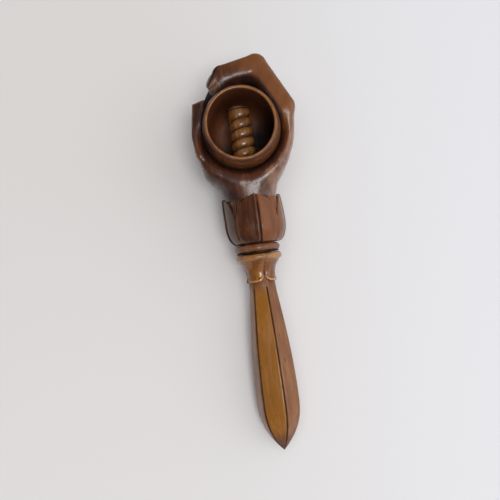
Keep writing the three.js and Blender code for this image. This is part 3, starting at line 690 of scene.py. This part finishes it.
# Each finger, from the index down: its height, half its width along the cup's axis, its joints in the
# plane from the knuckle to the tip, and its radius there at each of them.
FINGERS = [
    (10.2, 5.2, [(20.9, 7.0), (10.4, 27.75), (-5.8, 25.0), (-9.2, 20.4)], [5.5, 5.3, 4.7, 3.9]),
    (0.6, 4.6, [(20.7, 6.5), (10.0, 27.3), (-6.4, 24.0), (-14.6, 12.4)], [5.3, 5.0, 4.5, 3.7]),
    (-8.2, 4.2, [(20.2, 6.0), (9.6, 26.4), (-6.6, 23.0), (-16.0, 9.5)], [5.0, 4.7, 4.3, 3.6]),
    (-15.8, 3.9, [(19.2, 5.2), (9.0, 24.4), (-6.6, 21.6), (-15.6, 8.5)], [4.5, 4.2, 3.9, 3.3]),
]
FINGER_ROUNDING = 0.9
FINGER_BLEND = 0.7
WEB_DEPTH = 2.0
WEB_ROOT = 7.0
WEB_END = 2.6
WEB_OVERLAP = 1.2
WEB_TOP = 12.0
WEB_TOP_LEFT = 3.5
PALM_WALL = 21.0
FIST_TOP = 15.3
FIST_BOTTOM = -19.9


def finger_lengths(points, joints, radii):
    """The three lengths of a finger in the plane across the cup's axis, at every height."""
    ends = zip(joints, joints[1:], radii, radii[1:])
    return joined([prism(points, *length) for length in ends], FINGER_BLEND)


def fingers(points):
    rows = []
    for height, half_width, joints, radii in FINGERS:
        level = np.abs(points[:, 2] - height) - half_width
        rows.append(soft_max(finger_lengths(points, joints, radii), level, FINGER_ROUNDING * half_width))
    return joined(rows, FINGER_BLEND)


def webs(points):
    """What joins the fingers behind their grooves, and fills the hand round the cup."""
    shape = np.hypot(points[:, 0], points[:, 1]) - PALM_WALL
    for height, half_width, joints, radii in FINGERS:
        inner = finger_lengths(points, joints, [radius - WEB_DEPTH for radius in radii])
        for joint in joints[:3]:
            inner = np.minimum(inner, prism(points, (0, 0), joint, WEB_ROOT, WEB_END))
        level = np.abs(points[:, 2] - height) - half_width - WEB_OVERLAP
        shape = np.minimum(shape, np.maximum(inner, level))
    top = mix(WEB_TOP, WEB_TOP_LEFT, smooth(3, 12, -points[:, 0] - 0.2 * points[:, 1]))
    shape = soft_max(shape, points[:, 2] - top, 2)
    return soft_max(shape, FIST_BOTTOM + 2.5 - points[:, 2], 2)


# The palm and the back of the hand, from the knuckles to the wrist and up the thumb's side.
PALM_OUTLINE = [
    (16, 11), (23.0, 7.5), (25.2, 3.5), (25.5, 0.0), (25.0, -3.1), (24.4, -6.9), (23.4, -10.7), (21.9, -14.3),
    (20.2, -18.0), (18.1, -21.6), (15.7, -25.0), (13.6, -28.3), (12.4, -31.5), (12.1, -34.0), (12.1, -60.0),
    (-12.0, -60.0), (-12.0, -34.0), (-12.2, -31.0), (-13.4, -27.4), (-16.3, -25.0), (-18.9, -22.5),
    (-20.5, -20.0), (-21.3, -17.0), (-22.0, -13.0), (-22.6, -8.5), (-22.2, -4.0), (-20.5, 0.0), (-17.0, 4.0),
    (-12.0, 7.0), (0, 12),
]
PALM_END = 34.0
PALM_TAPER = 3.4
WRIST_TOP = 12.4
WRIST_BOTTOM = -12.2
palm_distance = outline_distance(PALM_OUTLINE)


def palm(points):
    height = points[:, 2]
    to_wrist = smooth(18, 36, -points[:, 1])
    sides = palm_distance(points) + PALM_TAPER * np.clip(-height / 18, 0, 2) ** 2 * (1 - to_wrist)
    rounding = mix(8, 11.5, to_wrist)
    shape = soft_max(sides, height - mix(FIST_TOP, WRIST_TOP, to_wrist), rounding)
    shape = soft_max(shape, mix(FIST_BOTTOM, WRIST_BOTTOM, to_wrist) - height, rounding)
    return soft_max(shape, -PALM_END - points[:, 1], 1)


THUMB_OUTLINE = [
    (-22.0, -14.0), (-22.9, -9.5), (-23.5, -5.0), (-23.6, -1.0), (-23.2, 3.0), (-22.6, 7.0), (-22.0, 10.5),
    (-21.8, 12.4), (-21.6, 13.2), (-20.9, 13.6), (-18.5, 14.2), (-16.2, 14.9), (-15.2, 14.6), (-14.8, 13.4),
    (-14, 6), (-14, -14),
]
THUMB_LOW = 4.6
thumb_distance = outline_distance(THUMB_OUTLINE)


def thumb(points):
    """It lies flat along the cup's side, over the fingers' tips, and ends bluntly."""
    low = mix(THUMB_LOW, -6, smooth(-3, 16, -points[:, 1]))
    shape = soft_max(thumb_distance(points), points[:, 2] - FIST_TOP, 3.5)
    return soft_max(shape, low - points[:, 2], 5)


def wrist_radius(distance):
    return np.interp(distance, WRIST_SIDE[:, 0], WRIST_SIDE[:, 1])


def wrist(points):
    distance = -points[:, 1]
    shape = np.hypot(points[:, 0], points[:, 2]) - wrist_radius(distance)
    shape = soft_max(shape, distance - WRIST_SIDE[-1, 0] + INSET, 0.6)
    return soft_max(shape, WRIST_SIDE[0, 0] - distance, 0.6)


NAIL_MIDDLE = np.array([-10.9, 22.6, 13.2])
NAIL_AXES = np.array([[-0.5, -0.866, 0.0], [-0.61, 0.352, 0.71], [0.615, -0.355, 0.704]])
NAIL_RADII = np.array([4.0, 0.9, 3.0])


def nail(points):
    """The index finger's nail, a flattened ball. Its value is near the true distance only at its surface."""
    scaled = (points - NAIL_MIDDLE) @ NAIL_AXES.T / NAIL_RADII
    reach = np.linalg.norm(scaled, axis=1)
    slope = np.linalg.norm(scaled / NAIL_RADII, axis=1)
    return reach * (reach - 1) / np.maximum(slope, 1e-6)


# The index finger's tip is cut to a flat facet, and a fine line of painted shade runs up the finger's
# back from it.
FACET_PLACE = np.array([-9.8, 20.5, 12.9])
FACET_NORMAL = np.array([-0.62, -0.45, 0.643])
FACET_OUTLINE = [(-9.4, 23.6), (-11.4, 21.4), (-13.6, 18.6), (-10.0, 18.6), (-7.2, 19.6), (-8.2, 21.6)]
facet_distance = outline_distance(FACET_OUTLINE)
TIP_SHADE_LINE = [(-6.6, 29.6), (-9.6, 25.6), (-11.6, 22.2), (-13.4, 18.8)]


def tip_shade_distance(points):
    lengths = [prism(points, a, b, 0, 0) for a, b in zip(TIP_SHADE_LINE, TIP_SHADE_LINE[1:])]
    return np.minimum.reduce(lengths)


# The trough's outline round the cup. How far the hand's top sinks follows from the distance to it.
TROUGH_EDGE = [
    (20.5, 1.0), (20.3, 4.5), (19.1, 7.2), (17.6, 9.7), (15.8, 13.0), (13.6, 16.8), (11.4, 20.0), (9.3, 22.0),
    (6.5, 23.0), (3.3, 23.2), (-0.8, 22.8), (-5.0, 21.2), (-7.6, 19.3), (-9.4, 17.0), (-14, 14.0), (-17.4, 9),
    (-18.7, 3), (-19.0, -3), (-18.4, -7.9), (-15.8, -13.0), (-11.4, -17.3), (-5.7, -20.1), (0, -21.0),
    (5.6, -20.2), (11.2, -17.2), (15.6, -12.8), (18.4, -7.9), (19.9, -3.3),
]
trough_distance = outline_distance(TROUGH_EDGE)

# Towards the fingers the top begins to sink a little outside that outline, in a curve that grows steeper
# further in, down to a flat ledge. Towards the wrist it sinks down a straight bank to the bank's foot.
SINK_OUTSIDE = 2.6
SINK_OUTSIDE_RIGHT = 1.4
SINK_CURVE = 8.0
STEEP_FROM = 3.0
STEEPNESS = 0.7
TROUGH_LEDGE = 6.8
BANK_FOOT = 7.0
BANK_SLOPE = 2.6
BANK_REACH = 1.3


def trough(points):
    """How far a point is above the hand's top, which sinks to a dark trough all round the cup."""
    beyond = trough_distance(points)
    outside = mix(SINK_OUTSIDE, SINK_OUTSIDE_RIGHT, smooth(8, 18, points[:, 0]))
    past = np.maximum(outside - beyond, 0)
    steep = np.maximum(past - STEEP_FROM, 0)
    upper = FIST_TOP - past ** 2 / (2 * SINK_CURVE) - STEEPNESS * steep ** 2
    upper = np.maximum(upper, TROUGH_LEDGE)
    slope = np.where(upper > TROUGH_LEDGE, past / SINK_CURVE + 2 * STEEPNESS * steep, 0)
    lower = BANK_FOOT + BANK_SLOPE * np.maximum(beyond + BANK_REACH, 0)
    towards_wrist = smooth(-6, 10, -points[:, 1])
    height = mix(upper, lower, towards_wrist)
    return (points[:, 2] - height) / np.hypot(1, mix(slope, BANK_SLOPE, towards_wrist))


# How softly the hand's parts run together, and how round its cut edges are.
WEB_BLEND = 2.2
PALM_BLEND = 3.0
THUMB_BLEND = 1.6
WRIST_BLEND = 2.6
NAIL_BLEND = 0.25
CREST_EDGE = 1.4
CREST_EDGE_LEFT = 5.5
BANK_EDGE = 5.0
TOP_EDGE = 2.0
BOTTOM_EDGE = 1.5
FACET_EDGE = 0.3
BORE_EDGE = 0.5

# Further than any part of the hand: it puts a cut out of reach.
FAR = 30

# How uneven the knife left the hand, as waves along each axis.
KNIFE_WAVES = np.array([0.9, 0.7, 0.8])
KNIFE_STARTS = np.array([1, 0, 2])
KNIFE_DEPTH = 0.06

# The boxes that hold the fist and the cuff, and the spacing of their nets.
FIST_BOX = (-26.0, -56.0, -21.0), (29.5, 38.5, 17.0)
FIST_STEP = 0.45
CUFF_BOX = (-16.5, -56.0, -16.5), (16.5, -30.0, 16.5)
CUFF_STEP = 0.32


def fist_field(points):
    x, y, z = points.T
    hand = soft_min(fingers(points), webs(points), WEB_BLEND)
    hand = soft_min(hand, palm(points), PALM_BLEND)
    hand = soft_min(hand, thumb(points), THUMB_BLEND)
    crest = mix(CREST_EDGE, CREST_EDGE_LEFT, smooth(-10, -16, x))
    hand = soft_max(hand, trough(points), mix(crest, BANK_EDGE, smooth(-6, 10, -y)))
    hand = soft_max(hand, z - FIST_TOP, TOP_EDGE)
    off_tip = np.maximum(smooth(-8, -4, x), smooth(17, 15.5, y))
    hand = soft_max(hand, (points - FACET_PLACE) @ FACET_NORMAL - FAR * off_tip, FACET_EDGE)
    hand = soft_max(hand, FIST_BOTTOM - z, BOTTOM_EDGE)
    hand = soft_min(hand, nail(points), NAIL_BLEND)
    hand = soft_min(hand, wrist(points), WRIST_BLEND)
    hand = soft_max(hand, barrel_radius(z) + CUP_FIT - np.hypot(x, y / OVAL), BORE_EDGE)
    screw_hole = np.minimum(BORE_RADIUS - np.hypot(x, z), -y)
    waves = np.sin(points * KNIFE_WAVES + KNIFE_STARTS)
    return soft_max(hand, screw_hole, BORE_EDGE) + KNIFE_DEPTH * waves.prod(1)


def add_fist():
    points, quads = carved(fist_field, *FIST_BOX, FIST_STEP * FINE)
    x, y, z = points.T
    golden = smooth(6, 22, x * 0.8 + y * 0.45) * smooth(2, 12, z)
    tone = golden * (1 - smooth(20, 34, -y))
    beyond = trough_distance(points)
    darkening_edge = mix(2.5, 0.2, smooth(8, 18, x)) + 2.5 * smooth(-10, -16, x)
    by_fingers = 1 - smooth(-1.0, darkening_edge, beyond)
    by_heel = 1 - smooth(0.2, 3.6, beyond)
    on_top = smooth(2, 5, z) * (1 - smooth(24, 29, -y))
    darkened_round_cup = mix(by_fingers, by_heel, smooth(-4, 10, -y)) * on_top
    thumb_slot_shade = smooth(-7, -9.5, x) * smooth(10.5, 13, y) * smooth(24, 20, y)
    facet = smooth(0.5, -0.6, facet_distance(points)) * smooth(7, 9, z)
    # Darker round the cup. Painted shade in the slot by the thumb and along the line on the tip, then
    # painted shade on the left, away from the light: its top, its foot and the heel.
    dirt_and_shade = np.maximum.reduce([
        0.68 * darkened_round_cup,
        thumb_slot_shade * smooth(9, 6.5, z) * smooth(0, 2.5, z),
        np.exp(-(tip_shade_distance(points) / 0.4) ** 2) * smooth(5, 8, z),
        0.14 * smooth(-8, -18, x) * smooth(-30, -20, y),
        0.45 * smooth(9.5, 5, z) * smooth(2, -6, x),
        0.45 * smooth(0, -7, x) * smooth(-15, -23, y) * smooth(-38, -34, y),
    ])
    # A painted sheen on the lower right, where the hand's edge turns towards the light.
    sheen = 0.95 * smooth(1, 4, beyond) * smooth(2, 12, x) * smooth(5, -6, y) * (1 - darkened_round_cup)
    add_piece(
        "carved_fist", points, quads, HAND_WOOD, "head", "fist", tone, dirt_and_shade * (1 - facet),
        np.maximum(facet, sheen), full_depth=0.5,
    )


# The cuff

CUFF_TIPS = -CUFF_HIGH[1] + 1
CUFF_BELLY = 45.5
CUFF_BASE = -CUFF_LOW[1] - INSET
TIPS_RADIUS = 13.6
CUFF_RADIUS = 14.75
CUFF_BASE_RADIUS = 10.15
PETAL_TURN = np.radians(8)
PETAL_THICKNESS = 1.5
PETAL_ROOF = 0.55
RIB_HEIGHT = 0.6
RIB_PLACE = -0.55
RIB_CUT_PLACE = 0.75
INNER_RIB_HEIGHT = 0.35
INNER_SINK = 1.1
INNER_TIPS = CUFF_TIPS - 0.9
BODY_SINK = 1.7
BODY_START = 41.0
PULLED_IN = 1.35


def cuff_side(distance, around):
    """The cuff's radius: it is a little flatter on its left side."""
    opened = np.clip((CUFF_BELLY - distance) / (CUFF_BELLY - CUFF_TIPS), 0, 1.2)
    closed = np.clip((distance - CUFF_BELLY) / (CUFF_BASE - CUFF_BELLY), 0, 1)
    above = mix(CUFF_RADIUS, TIPS_RADIUS, opened ** 2)
    below = mix(CUFF_BASE_RADIUS, CUFF_RADIUS, np.sqrt(1 - closed ** 2))
    side = np.where(distance < CUFF_BELLY, above, below)
    leftness = smooth(0.45, 1, -np.sin(around))
    return side - PULLED_IN * leftness * smooth(CUFF_TIPS - 4, CUFF_BELLY, distance) - 0.1 * leftness


def petal(points, angle, tip, sink, rib):
    """One ring of petals, and how far a point is past their edges.

    Each is a plate of two flat halves with a rib and a cut beside it, narrowing to a tip. The angle is
    that from the middle of the nearest petal.
    """
    radius, distance, around = cuff_place(points)
    outer = cuff_side(distance, around) - sink
    across = angle * radius
    keel = rib * np.exp(-((across - RIB_PLACE) / 0.75) ** 2)
    cut = rib * 1.2 * np.exp(-((across - RIB_CUT_PLACE) / 0.42) ** 2)
    to_side = np.abs(angle) / (QUARTER / 2)
    roof = PETAL_ROOF * (1 - np.clip(to_side, 0, 1))
    surface = radius - (outer - 0.35 + keel - cut + roof)
    back = (outer - PETAL_THICKNESS) - radius
    share = np.clip(to_side, 0, 1.4)
    edge = (tip + (CUFF_BELLY - tip) * (0.26 * share + 0.6 * share ** 4) - distance) * 0.72
    return soft_max(soft_max(surface, back, 0.4), edge, 0.5), edge


def cuff_place(points):
    """Each point's radius, its distance and its angle round the screw's axis."""
    return np.hypot(points[:, 0], points[:, 2]), -points[:, 1], np.arctan2(points[:, 0], points[:, 2])


def petal_angles(around):
    """The angle from the middle of the nearest of the four broad and of the four narrow petals."""
    angle = around - PETAL_TURN
    return (angle + QUARTER / 2) % QUARTER - QUARTER / 2, angle % QUARTER - QUARTER / 2


def cuff_field(points):
    radius, distance, around = cuff_place(points)
    broad, narrow = petal_angles(around)
    shape, _ = petal(points, broad, CUFF_TIPS, 0, RIB_HEIGHT)
    behind, _ = petal(points, narrow, INNER_TIPS, INNER_SINK, INNER_RIB_HEIGHT)
    shape = soft_min(shape, behind, 0.15)
    body = soft_max(radius - cuff_side(distance, around) + BODY_SINK, BODY_START - distance, 1.5)
    shape = soft_min(shape, body, 0.3)
    shape = shape + 0.35 * np.clip(1 - np.abs(narrow) * radius / 0.8, 0, 1) * smooth(43, 46, distance)
    shape = soft_max(shape, distance - CUFF_BASE, 0.5)
    return soft_max(shape, wrist_radius(distance) + SEAM - radius, 0.3)


def add_cuff():
    points, quads = carved(cuff_field, *CUFF_BOX, CUFF_STEP * FINE, passes=2)
    radius, distance, around = cuff_place(points)
    broad, _ = petal_angles(around)
    _, past_edge = petal(points, broad, CUFF_TIPS, 0, RIB_HEIGHT)
    # Painted shade in the gaps beside the broad petals' edges and in the cut beside each rib, and painted
    # light on the cuff's right side, carried as tone.
    below = cuff_side(distance, around) - 0.75 - radius
    gap = smooth(1.6, 0.2, past_edge) * smooth(0.1, 0.5, below) * smooth(-0.4, 0.1, past_edge)
    cut = np.exp(-((broad * radius - RIB_CUT_PLACE) / 0.4) ** 2) * smooth(34, 37, distance)
    tone = smooth(0.2, 1.0, np.sin(around - PETAL_TURN) * radius)
    add_piece(
        "petal_cuff_carved", points, quads, CUFF_WOOD, "head", "petal_cuff", tone,
        np.maximum(gap, cut),
    )


def add_ring():
    """A bead with a plain foot, which the collar turns against."""
    start = -RING_HIGH[1] + INSET
    end = -RING_LOW[1] - INSET
    outer = RING_HIGH[0] - INSET
    bead_end = end - RING_FOOT_LENGTH
    middle = (start + bead_end) / 2
    half = (bead_end - start) / 2
    outline = [[BORE_RADIUS + SEAM, start]]
    for bead in np.radians(np.linspace(-80, 80, 17)):
        outline.append([outer - RING_ROUNDING * (1 - np.cos(bead)), middle + half * np.sin(bead)])
    outline += [[RING_FOOT_RADIUS, bead_end + INSET], [RING_FOOT_RADIUS, end], [BORE_RADIUS + SEAM, end]]
    points, quads = turned(resampled(np.array(outline), 110), 160 // FINE)
    # Painted shade on the foot, in the groove by the collar, and a painted highlight, with wear, on the
    # bead's crown.
    foot = 0.75 * smooth(bead_end - 0.5, bead_end - 0.1, -points[:, 1])
    light = 0.75 * smooth(0.4, 0.9, np.hypot(points[:, 0], points[:, 2]) - outer + RING_ROUNDING)
    add_piece(
        "turned_cuff_ring", points, quads, CUFF_WOOD, "head", "cuff_ring", 0.7, foot, light,
    )


# The screw


def thread_turns(angle, height):
    """How many turns a place is above the groove's start. Whole numbers lie on the groove's middle line."""
    return (height - FIRST_GROOVE) / PITCH - angle / (2 * np.pi)


def thread_depth(angle, height):
    """How deep the groove is. It climbs once a turn to the right, and fades out above its start."""
    turns = thread_turns(angle, height)
    off = np.abs((turns + 0.5) % 1 - 0.5) * PITCH
    groove = 0.45 * np.exp(-(off / 0.5) ** 2) + 0.55 * (1 - np.clip(off / (PITCH / 2), 0, 1)) ** 1.8
    past = turns * 2 * np.pi + angle
    return GROOVE_DEPTH * np.clip(groove, 0, 1) * (1 - smooth(2.6, 5.2, past))


def add_screw():
    top = SCREW_HIGH[1] - FINE_INSET
    thread_end = COLLAR_HIGH[1] + THREAD_PAST_COLLAR
    bottom = SCREW_LOW[1] + INSET
    threaded = np.linspace(top, thread_end, 330 // FINE)
    tenon = np.linspace(thread_end - 0.3, bottom, 30)
    heights = np.concatenate([threaded, tenon])
    columns = 120 // FINE
    angle = circle(columns)
    angle = np.where(angle > np.pi, angle - 2 * np.pi, angle)
    y, a = np.meshgrid(heights, angle, indexing="ij")
    depth = thread_depth(a, y)
    radius = np.where(y < thread_end - 0.1, TENON_RADIUS, SCREW_RADIUS - depth)
    radius[0] *= END_SHARE
    # Painted shade, carried as tone and darkening: each thread's lower edge, the groove's floor and the end
    # by the nose.
    tone = 0.75 * smooth(2.2, 0.6, thread_turns(a, y) % 1 * PITCH)
    dirt_and_shade = np.maximum(0.9 * smooth(0.6, 0.95, depth / GROOVE_DEPTH), 0.45 * smooth(top - 2.2, top - 0.3, y))
    add_piece(
        "threaded_screw", about_screw(radius, -y, a), grid_quads(len(heights), columns), SCREW_WOOD, "handle",
        "screw", tone, dirt_and_shade, full_depth=0.8, extra_faces=end_caps(len(heights), columns),
    )


def add_nose():
    """The screw's round end, whose middle is left open by a pinhole on the axis."""
    start = NOSE_LOW[1] + FINE_INSET
    tip = NOSE_HIGH[1] - FINE_INSET
    shoulder = tip - NOSE_LENGTH
    outline = [
        [AXIS_HOLE, -start], [SCREW_RADIUS * END_SHARE, -start], [SCREW_RADIUS, -start - 0.15],
        [SCREW_RADIUS, -shoulder],
    ]
    for bend in np.radians(np.linspace(8, 90, 14)):
        radius = mix(NOSE_FLAT, SCREW_RADIUS, np.cos(bend))
        outline.append([radius, -shoulder - NOSE_LENGTH * np.sin(bend)])
    outline.append([AXIS_HOLE, -tip])
    points, quads = turned(resampled(np.array(outline), 70), 120 // FINE)
    # The nose is painted dark all over: painted shade.
    add_piece(
        "screw_nose_smooth", points, quads, SCREW_WOOD, "carrier", "screw_nose", tone=1.0,
        dirt_and_shade=0.6,
    )


# The collar and the grip

COLLAR_BEAD = 1.5
COLLAR_BEAD_HALF = 1.6
COLLAR_WAIST = 6.6
LOBE_TURN = np.radians(14)
LOBE_NOTCH = 3.5
COLLAR_OVERHANG = 1.1
SOCKET_FLOOR = 0.25


def add_collar():
    """A bead over a bell, which ends in four lobes round the grip's neck."""
    top = -COLLAR_HIGH[1] + INSET
    end = -COLLAR_LOW[1] - COLLAR_OVERHANG
    rim = COLLAR_HIGH[0] - INSET
    socket_floor = -GRIP_HIGH[1] - SOCKET_FLOOR
    columns = 256 // FINE
    rows = 110 // FINE
    angle = circle(columns)
    lobe = (angle - LOBE_TURN) % QUARTER
    share_to_gap = np.abs(lobe - QUARTER / 2) / (QUARTER / 2)
    gap = share_to_gap ** 4
    lobe_end = mix(end, end - LOBE_NOTCH, gap)
    inner = TENON_RADIUS + SEAM
    socket = GRIP_NECK + SEAM
    lines = [(inner, top)]
    for bead in np.radians(np.linspace(-85, 60, 14)):
        radius = rim - COLLAR_BEAD * (1 - np.cos(bead))
        lines.append((radius, top + COLLAR_BEAD_HALF * (1 + np.sin(bead))))
    for share in np.linspace(0.02, 1, rows):
        bell = mix(rim - 1.1, COLLAR_WAIST, 1 - (1 - share) ** 2.4)
        swell = 0.45 * smooth(0.35, 0.9, share) * np.cos(share_to_gap * np.pi / 2) ** 0.7
        groove = 0.5 * smooth(0.3, 0.65, share) * np.clip((share_to_gap - 0.82) / 0.18, 0, 1) ** 1.3
        lip = 0.4 * smooth(0.8, 0.92, share) * (1 - gap)
        radius = bell + swell - groove + lip
        lines.append((radius, mix(top + 2 * COLLAR_BEAD_HALF, lobe_end, share)))
    lines += [
        (mix(radius, socket, 0.3), lobe_end - 0.02), (socket, lobe_end - 0.1), (socket, socket_floor),
        (inner, socket_floor),
    ]
    radius, distance = (np.stack([value + np.zeros(columns) for value in values]) for values in zip(*lines))
    blush = smooth(0.7, 1, share_to_gap) * smooth(top + 5, top + 9, distance)
    # Painted highlights on the lobes' lips and painted light, with wear, on the bead; painted shade by the
    # notches.
    lip_glint = smooth(lobe_end - 1.5, lobe_end - 0.8, distance) * (1 - smooth(0.96, 1, share_to_gap))
    notch_shade = smooth(0.86, 1, share_to_gap) * smooth(lobe_end - 3.5, lobe_end - 0.5, distance)
    worn_and_lit = np.maximum(0.85 * lip_glint, 0.72 * smooth(top + 3.6, top + 2.6, distance))
    add_piece(
        "bell_collar", about_screw(radius, distance, angle), grid_quads(len(lines), columns, rows_meet=True),
        COLLAR_WOOD, "handle", "handle_collar", blush, notch_shade, worn_and_lit, full_depth=0.9,
    )


# The grip's radius at its neck, its shoulder and its belly, and the distances of the last two.
GRIP_NECK = 6.0
GRIP_SHOULDER = 6.75
GRIP_BELLY = 10.7
SHOULDER_PLACE = 77.0
BELLY_PLACE = 129.0
GRIP_START = -GRIP_HIGH[1] + FINE_INSET
GRIP_TIP = -GRIP_LOW[1] - INSET
SIXTH = np.pi / 3
FLAT_TURN = np.radians(-12)
GRIP_GROOVE_DEPTH = 0.8
GRIP_GROOVE_WIDTH = 0.42

# How golden each of the six faces is, from the one on top to the right. The top face's full gold is
# painted light.
FACE_TONES = np.array([1.0, 0.12, 0.45, 0.85, 0.3, 0.2])


def grip_radius(distance):
    neck = np.clip((distance - GRIP_START) / (SHOULDER_PLACE - GRIP_START), 0, 1)
    body = np.clip((distance - SHOULDER_PLACE) / (BELLY_PLACE - SHOULDER_PLACE), 0, 1)
    end = np.clip((distance - BELLY_PLACE) / (GRIP_TIP - BELLY_PLACE), 0, 1)
    radius = mix(GRIP_NECK, GRIP_SHOULDER, neck ** 2)
    swelling = mix(GRIP_SHOULDER, GRIP_BELLY, np.sin(body * np.pi / 2))
    radius = np.where(distance > SHOULDER_PLACE, swelling, radius)
    return np.where(distance > BELLY_PLACE, GRIP_BELLY * (1 - end ** 2.6), radius)


def add_grip():
    """Six flat faces that begin below a round neck, with a groove along each edge."""
    columns = 288 // FINE
    ahead = np.linspace(GRIP_START, BELLY_PLACE, 200 // FINE)
    to_tip = np.sin(np.linspace(0.02, np.pi / 2 - 0.02, 110 // FINE))
    behind = mix(BELLY_PLACE, GRIP_TIP, to_tip)
    distance = np.concatenate([ahead, behind])[:, None]
    past_neck = distance - GRIP_START
    angle = circle(columns)[None, :]
    radius = grip_radius(distance)
    off = (angle - FLAT_TURN + SIXTH / 2) % SIXTH - SIXTH / 2
    flat_radius = radius * np.cos(SIXTH / 2) / np.cos(off)
    shape = mix(radius, mix(flat_radius, radius, 0.06), smooth(5.5, 11, past_neck))
    to_edge = (SIXTH / 2 - np.abs(off)) * radius
    groove = GRIP_GROOVE_DEPTH * np.exp(-(to_edge / GRIP_GROOVE_WIDTH) ** 2) * smooth(6, 10, past_neck)
    shape = shape - groove * np.clip(radius / GRIP_NECK, 0, 1)
    face = ((angle - FLAT_TURN + SIXTH / 2) % (2 * np.pi) // SIXTH).astype(int)
    tone = FACE_TONES[face] * (1 - smooth(142, 150, distance)) * smooth(74, 80, distance)
    # Painted shade along each edge's groove, and darker at both ends; painted highlights beside the grooves
    # near the belly.
    line = np.exp(-(to_edge / 0.46) ** 2) * smooth(6, 9, past_neck)
    ends = 0.34 * smooth(12, 5, past_neck) + 0.5 * smooth(141, 151, distance)
    lip = np.exp(-((to_edge - 0.95) / 0.3) ** 2) * smooth(110, 135, distance)
    add_piece(
        "six_sided_grip", about_screw(shape, distance, angle), grid_quads(len(distance), columns)[:, ::-1],
        GRIP_WOOD, "handle", "handle_grip", tone, np.maximum(line, ends), 0.5 * lip,
        extra_faces=[cap[::-1] for cap in end_caps(len(distance), columns)],
    )


# The stage

CAMERA_PLACE = (-3.6, -67.62, 289.82)
CAMERA_PITCH = np.radians(2.0)
CAMERA_ROLL = np.radians(7.7)
LENS = 43.2
SENSOR = 36
NEAREST = 0.01

# The stage is in metres. The floor's paper is a little darker on the left and lighter near the viewer:
# painted falloff of the light.
FLOOR_HALF = 3.0
PAPER_LEFT = srgb(218, 215, 212)
PAPER_RIGHT = srgb(228, 228, 231)
PAPER_NEAR = srgb(236, 234, 237)
WORLD_COLOUR = srgb(240, 240, 244)
WORLD_SIDES = (0.15, 0.68)
WORLD_OVERHEAD = 0.25

# Each lamp's place, size and power, and whether it shows in reflections. All face the press.
LAMPS = {
    "window": ((0.36, -0.62, 2.1), 0.8, 17.5, True),
    "side": ((1.6, -0.1, 1.3), 1.5, 6, True),
    "ceiling": ((0.1, 0.1, 2.4), 2.4, 28.5, False),
}
LAMPS_AIM = (0, 0, 0.02)


def add_camera():
    """A camera over the handle, pitched and rolled in the press's own frame."""
    ahead = np.array([0, np.sin(CAMERA_PITCH), -np.cos(CAMERA_PITCH)])
    up = np.array([np.sin(CAMERA_ROLL), np.cos(CAMERA_ROLL), 0])
    up = up - up @ ahead * ahead
    up = up / np.linalg.norm(up)
    axes = np.stack([np.cross(ahead, up), up, -ahead]) @ AXES
    data = bpy.data.cameras.new("camera")
    data.lens = LENS
    data.sensor_width = SENSOR
    data.clip_start = NEAREST
    camera = new_object("camera", data)
    matrix = Matrix(axes.T.tolist()).to_4x4()
    matrix.translation = Vector(placed(CAMERA_PLACE))
    camera.matrix_world = matrix
    bpy.context.scene.camera = camera


def add_floor():
    corners = [(x * FLOOR_HALF, y * FLOOR_HALF, 0) for x, y in ((-1, -1), (1, -1), (1, 1), (-1, 1))]
    mesh = bpy.data.meshes.new("floor")
    mesh.from_pydata(corners, [], [(0, 1, 2, 3)])
    floor = new_object("floor", mesh)
    material, nodes, shader = new_material("floor_paper", specular=0.1)
    place = nodes.coordinates()
    # Painted falloff of the light: darker to the left, lighter near the viewer.
    colour = nodes.blend(PAPER_LEFT, PAPER_RIGHT, nodes.ranged(place["X"], -0.06, 0.14))
    nearer = nodes.ranged(place["Y"], 0.1, -0.14)
    colour = nodes.blend(colour, PAPER_NEAR, nodes.product(nearer, 0.25))
    nodes.link(colour, shader.inputs["Base Color"])
    shader.inputs["Roughness"].default_value = 0.9
    floor.data.materials.append(material)


def add_lamps():
    for name, (place, size, power, reflected) in LAMPS.items():
        data = bpy.data.lights.new(name, "AREA")
        data.shape = "SQUARE"
        data.size = size
        data.energy = power
        lamp = new_object(name, data)
        lamp.location = place
        lamp.rotation_euler = (Vector(LAMPS_AIM) - Vector(place)).to_track_quat("-Z", "Y").to_euler()
        lamp.visible_glossy = reflected


def add_world():
    """Soft light from all round: brighter from the right, and dim from straight above."""
    world = bpy.data.worlds.new("world")
    world.use_nodes = True
    nodes = Nodes(world.node_tree, "Generated")
    direction = nodes.coordinates()
    from_right = nodes.ranged(direction["X"], -0.5, 0.95, *WORLD_SIDES)
    overhead = nodes.ranged(direction["Z"], 0.72, 0.97, 1.0, WORLD_OVERHEAD)
    background = world.node_tree.nodes["Background"]
    background.inputs["Color"].default_value = WORLD_COLOUR
    nodes.link(nodes.product(from_right, overhead), background.inputs["Strength"])
    bpy.context.scene.world = world


add_fist()
add_cup()
add_cuff()
add_ring()
add_screw()
add_nose()
add_collar()
add_grip()
add_camera()
add_floor()
add_world()
add_lamps()
bpy.context.scene.view_settings.view_transform = "Standard"
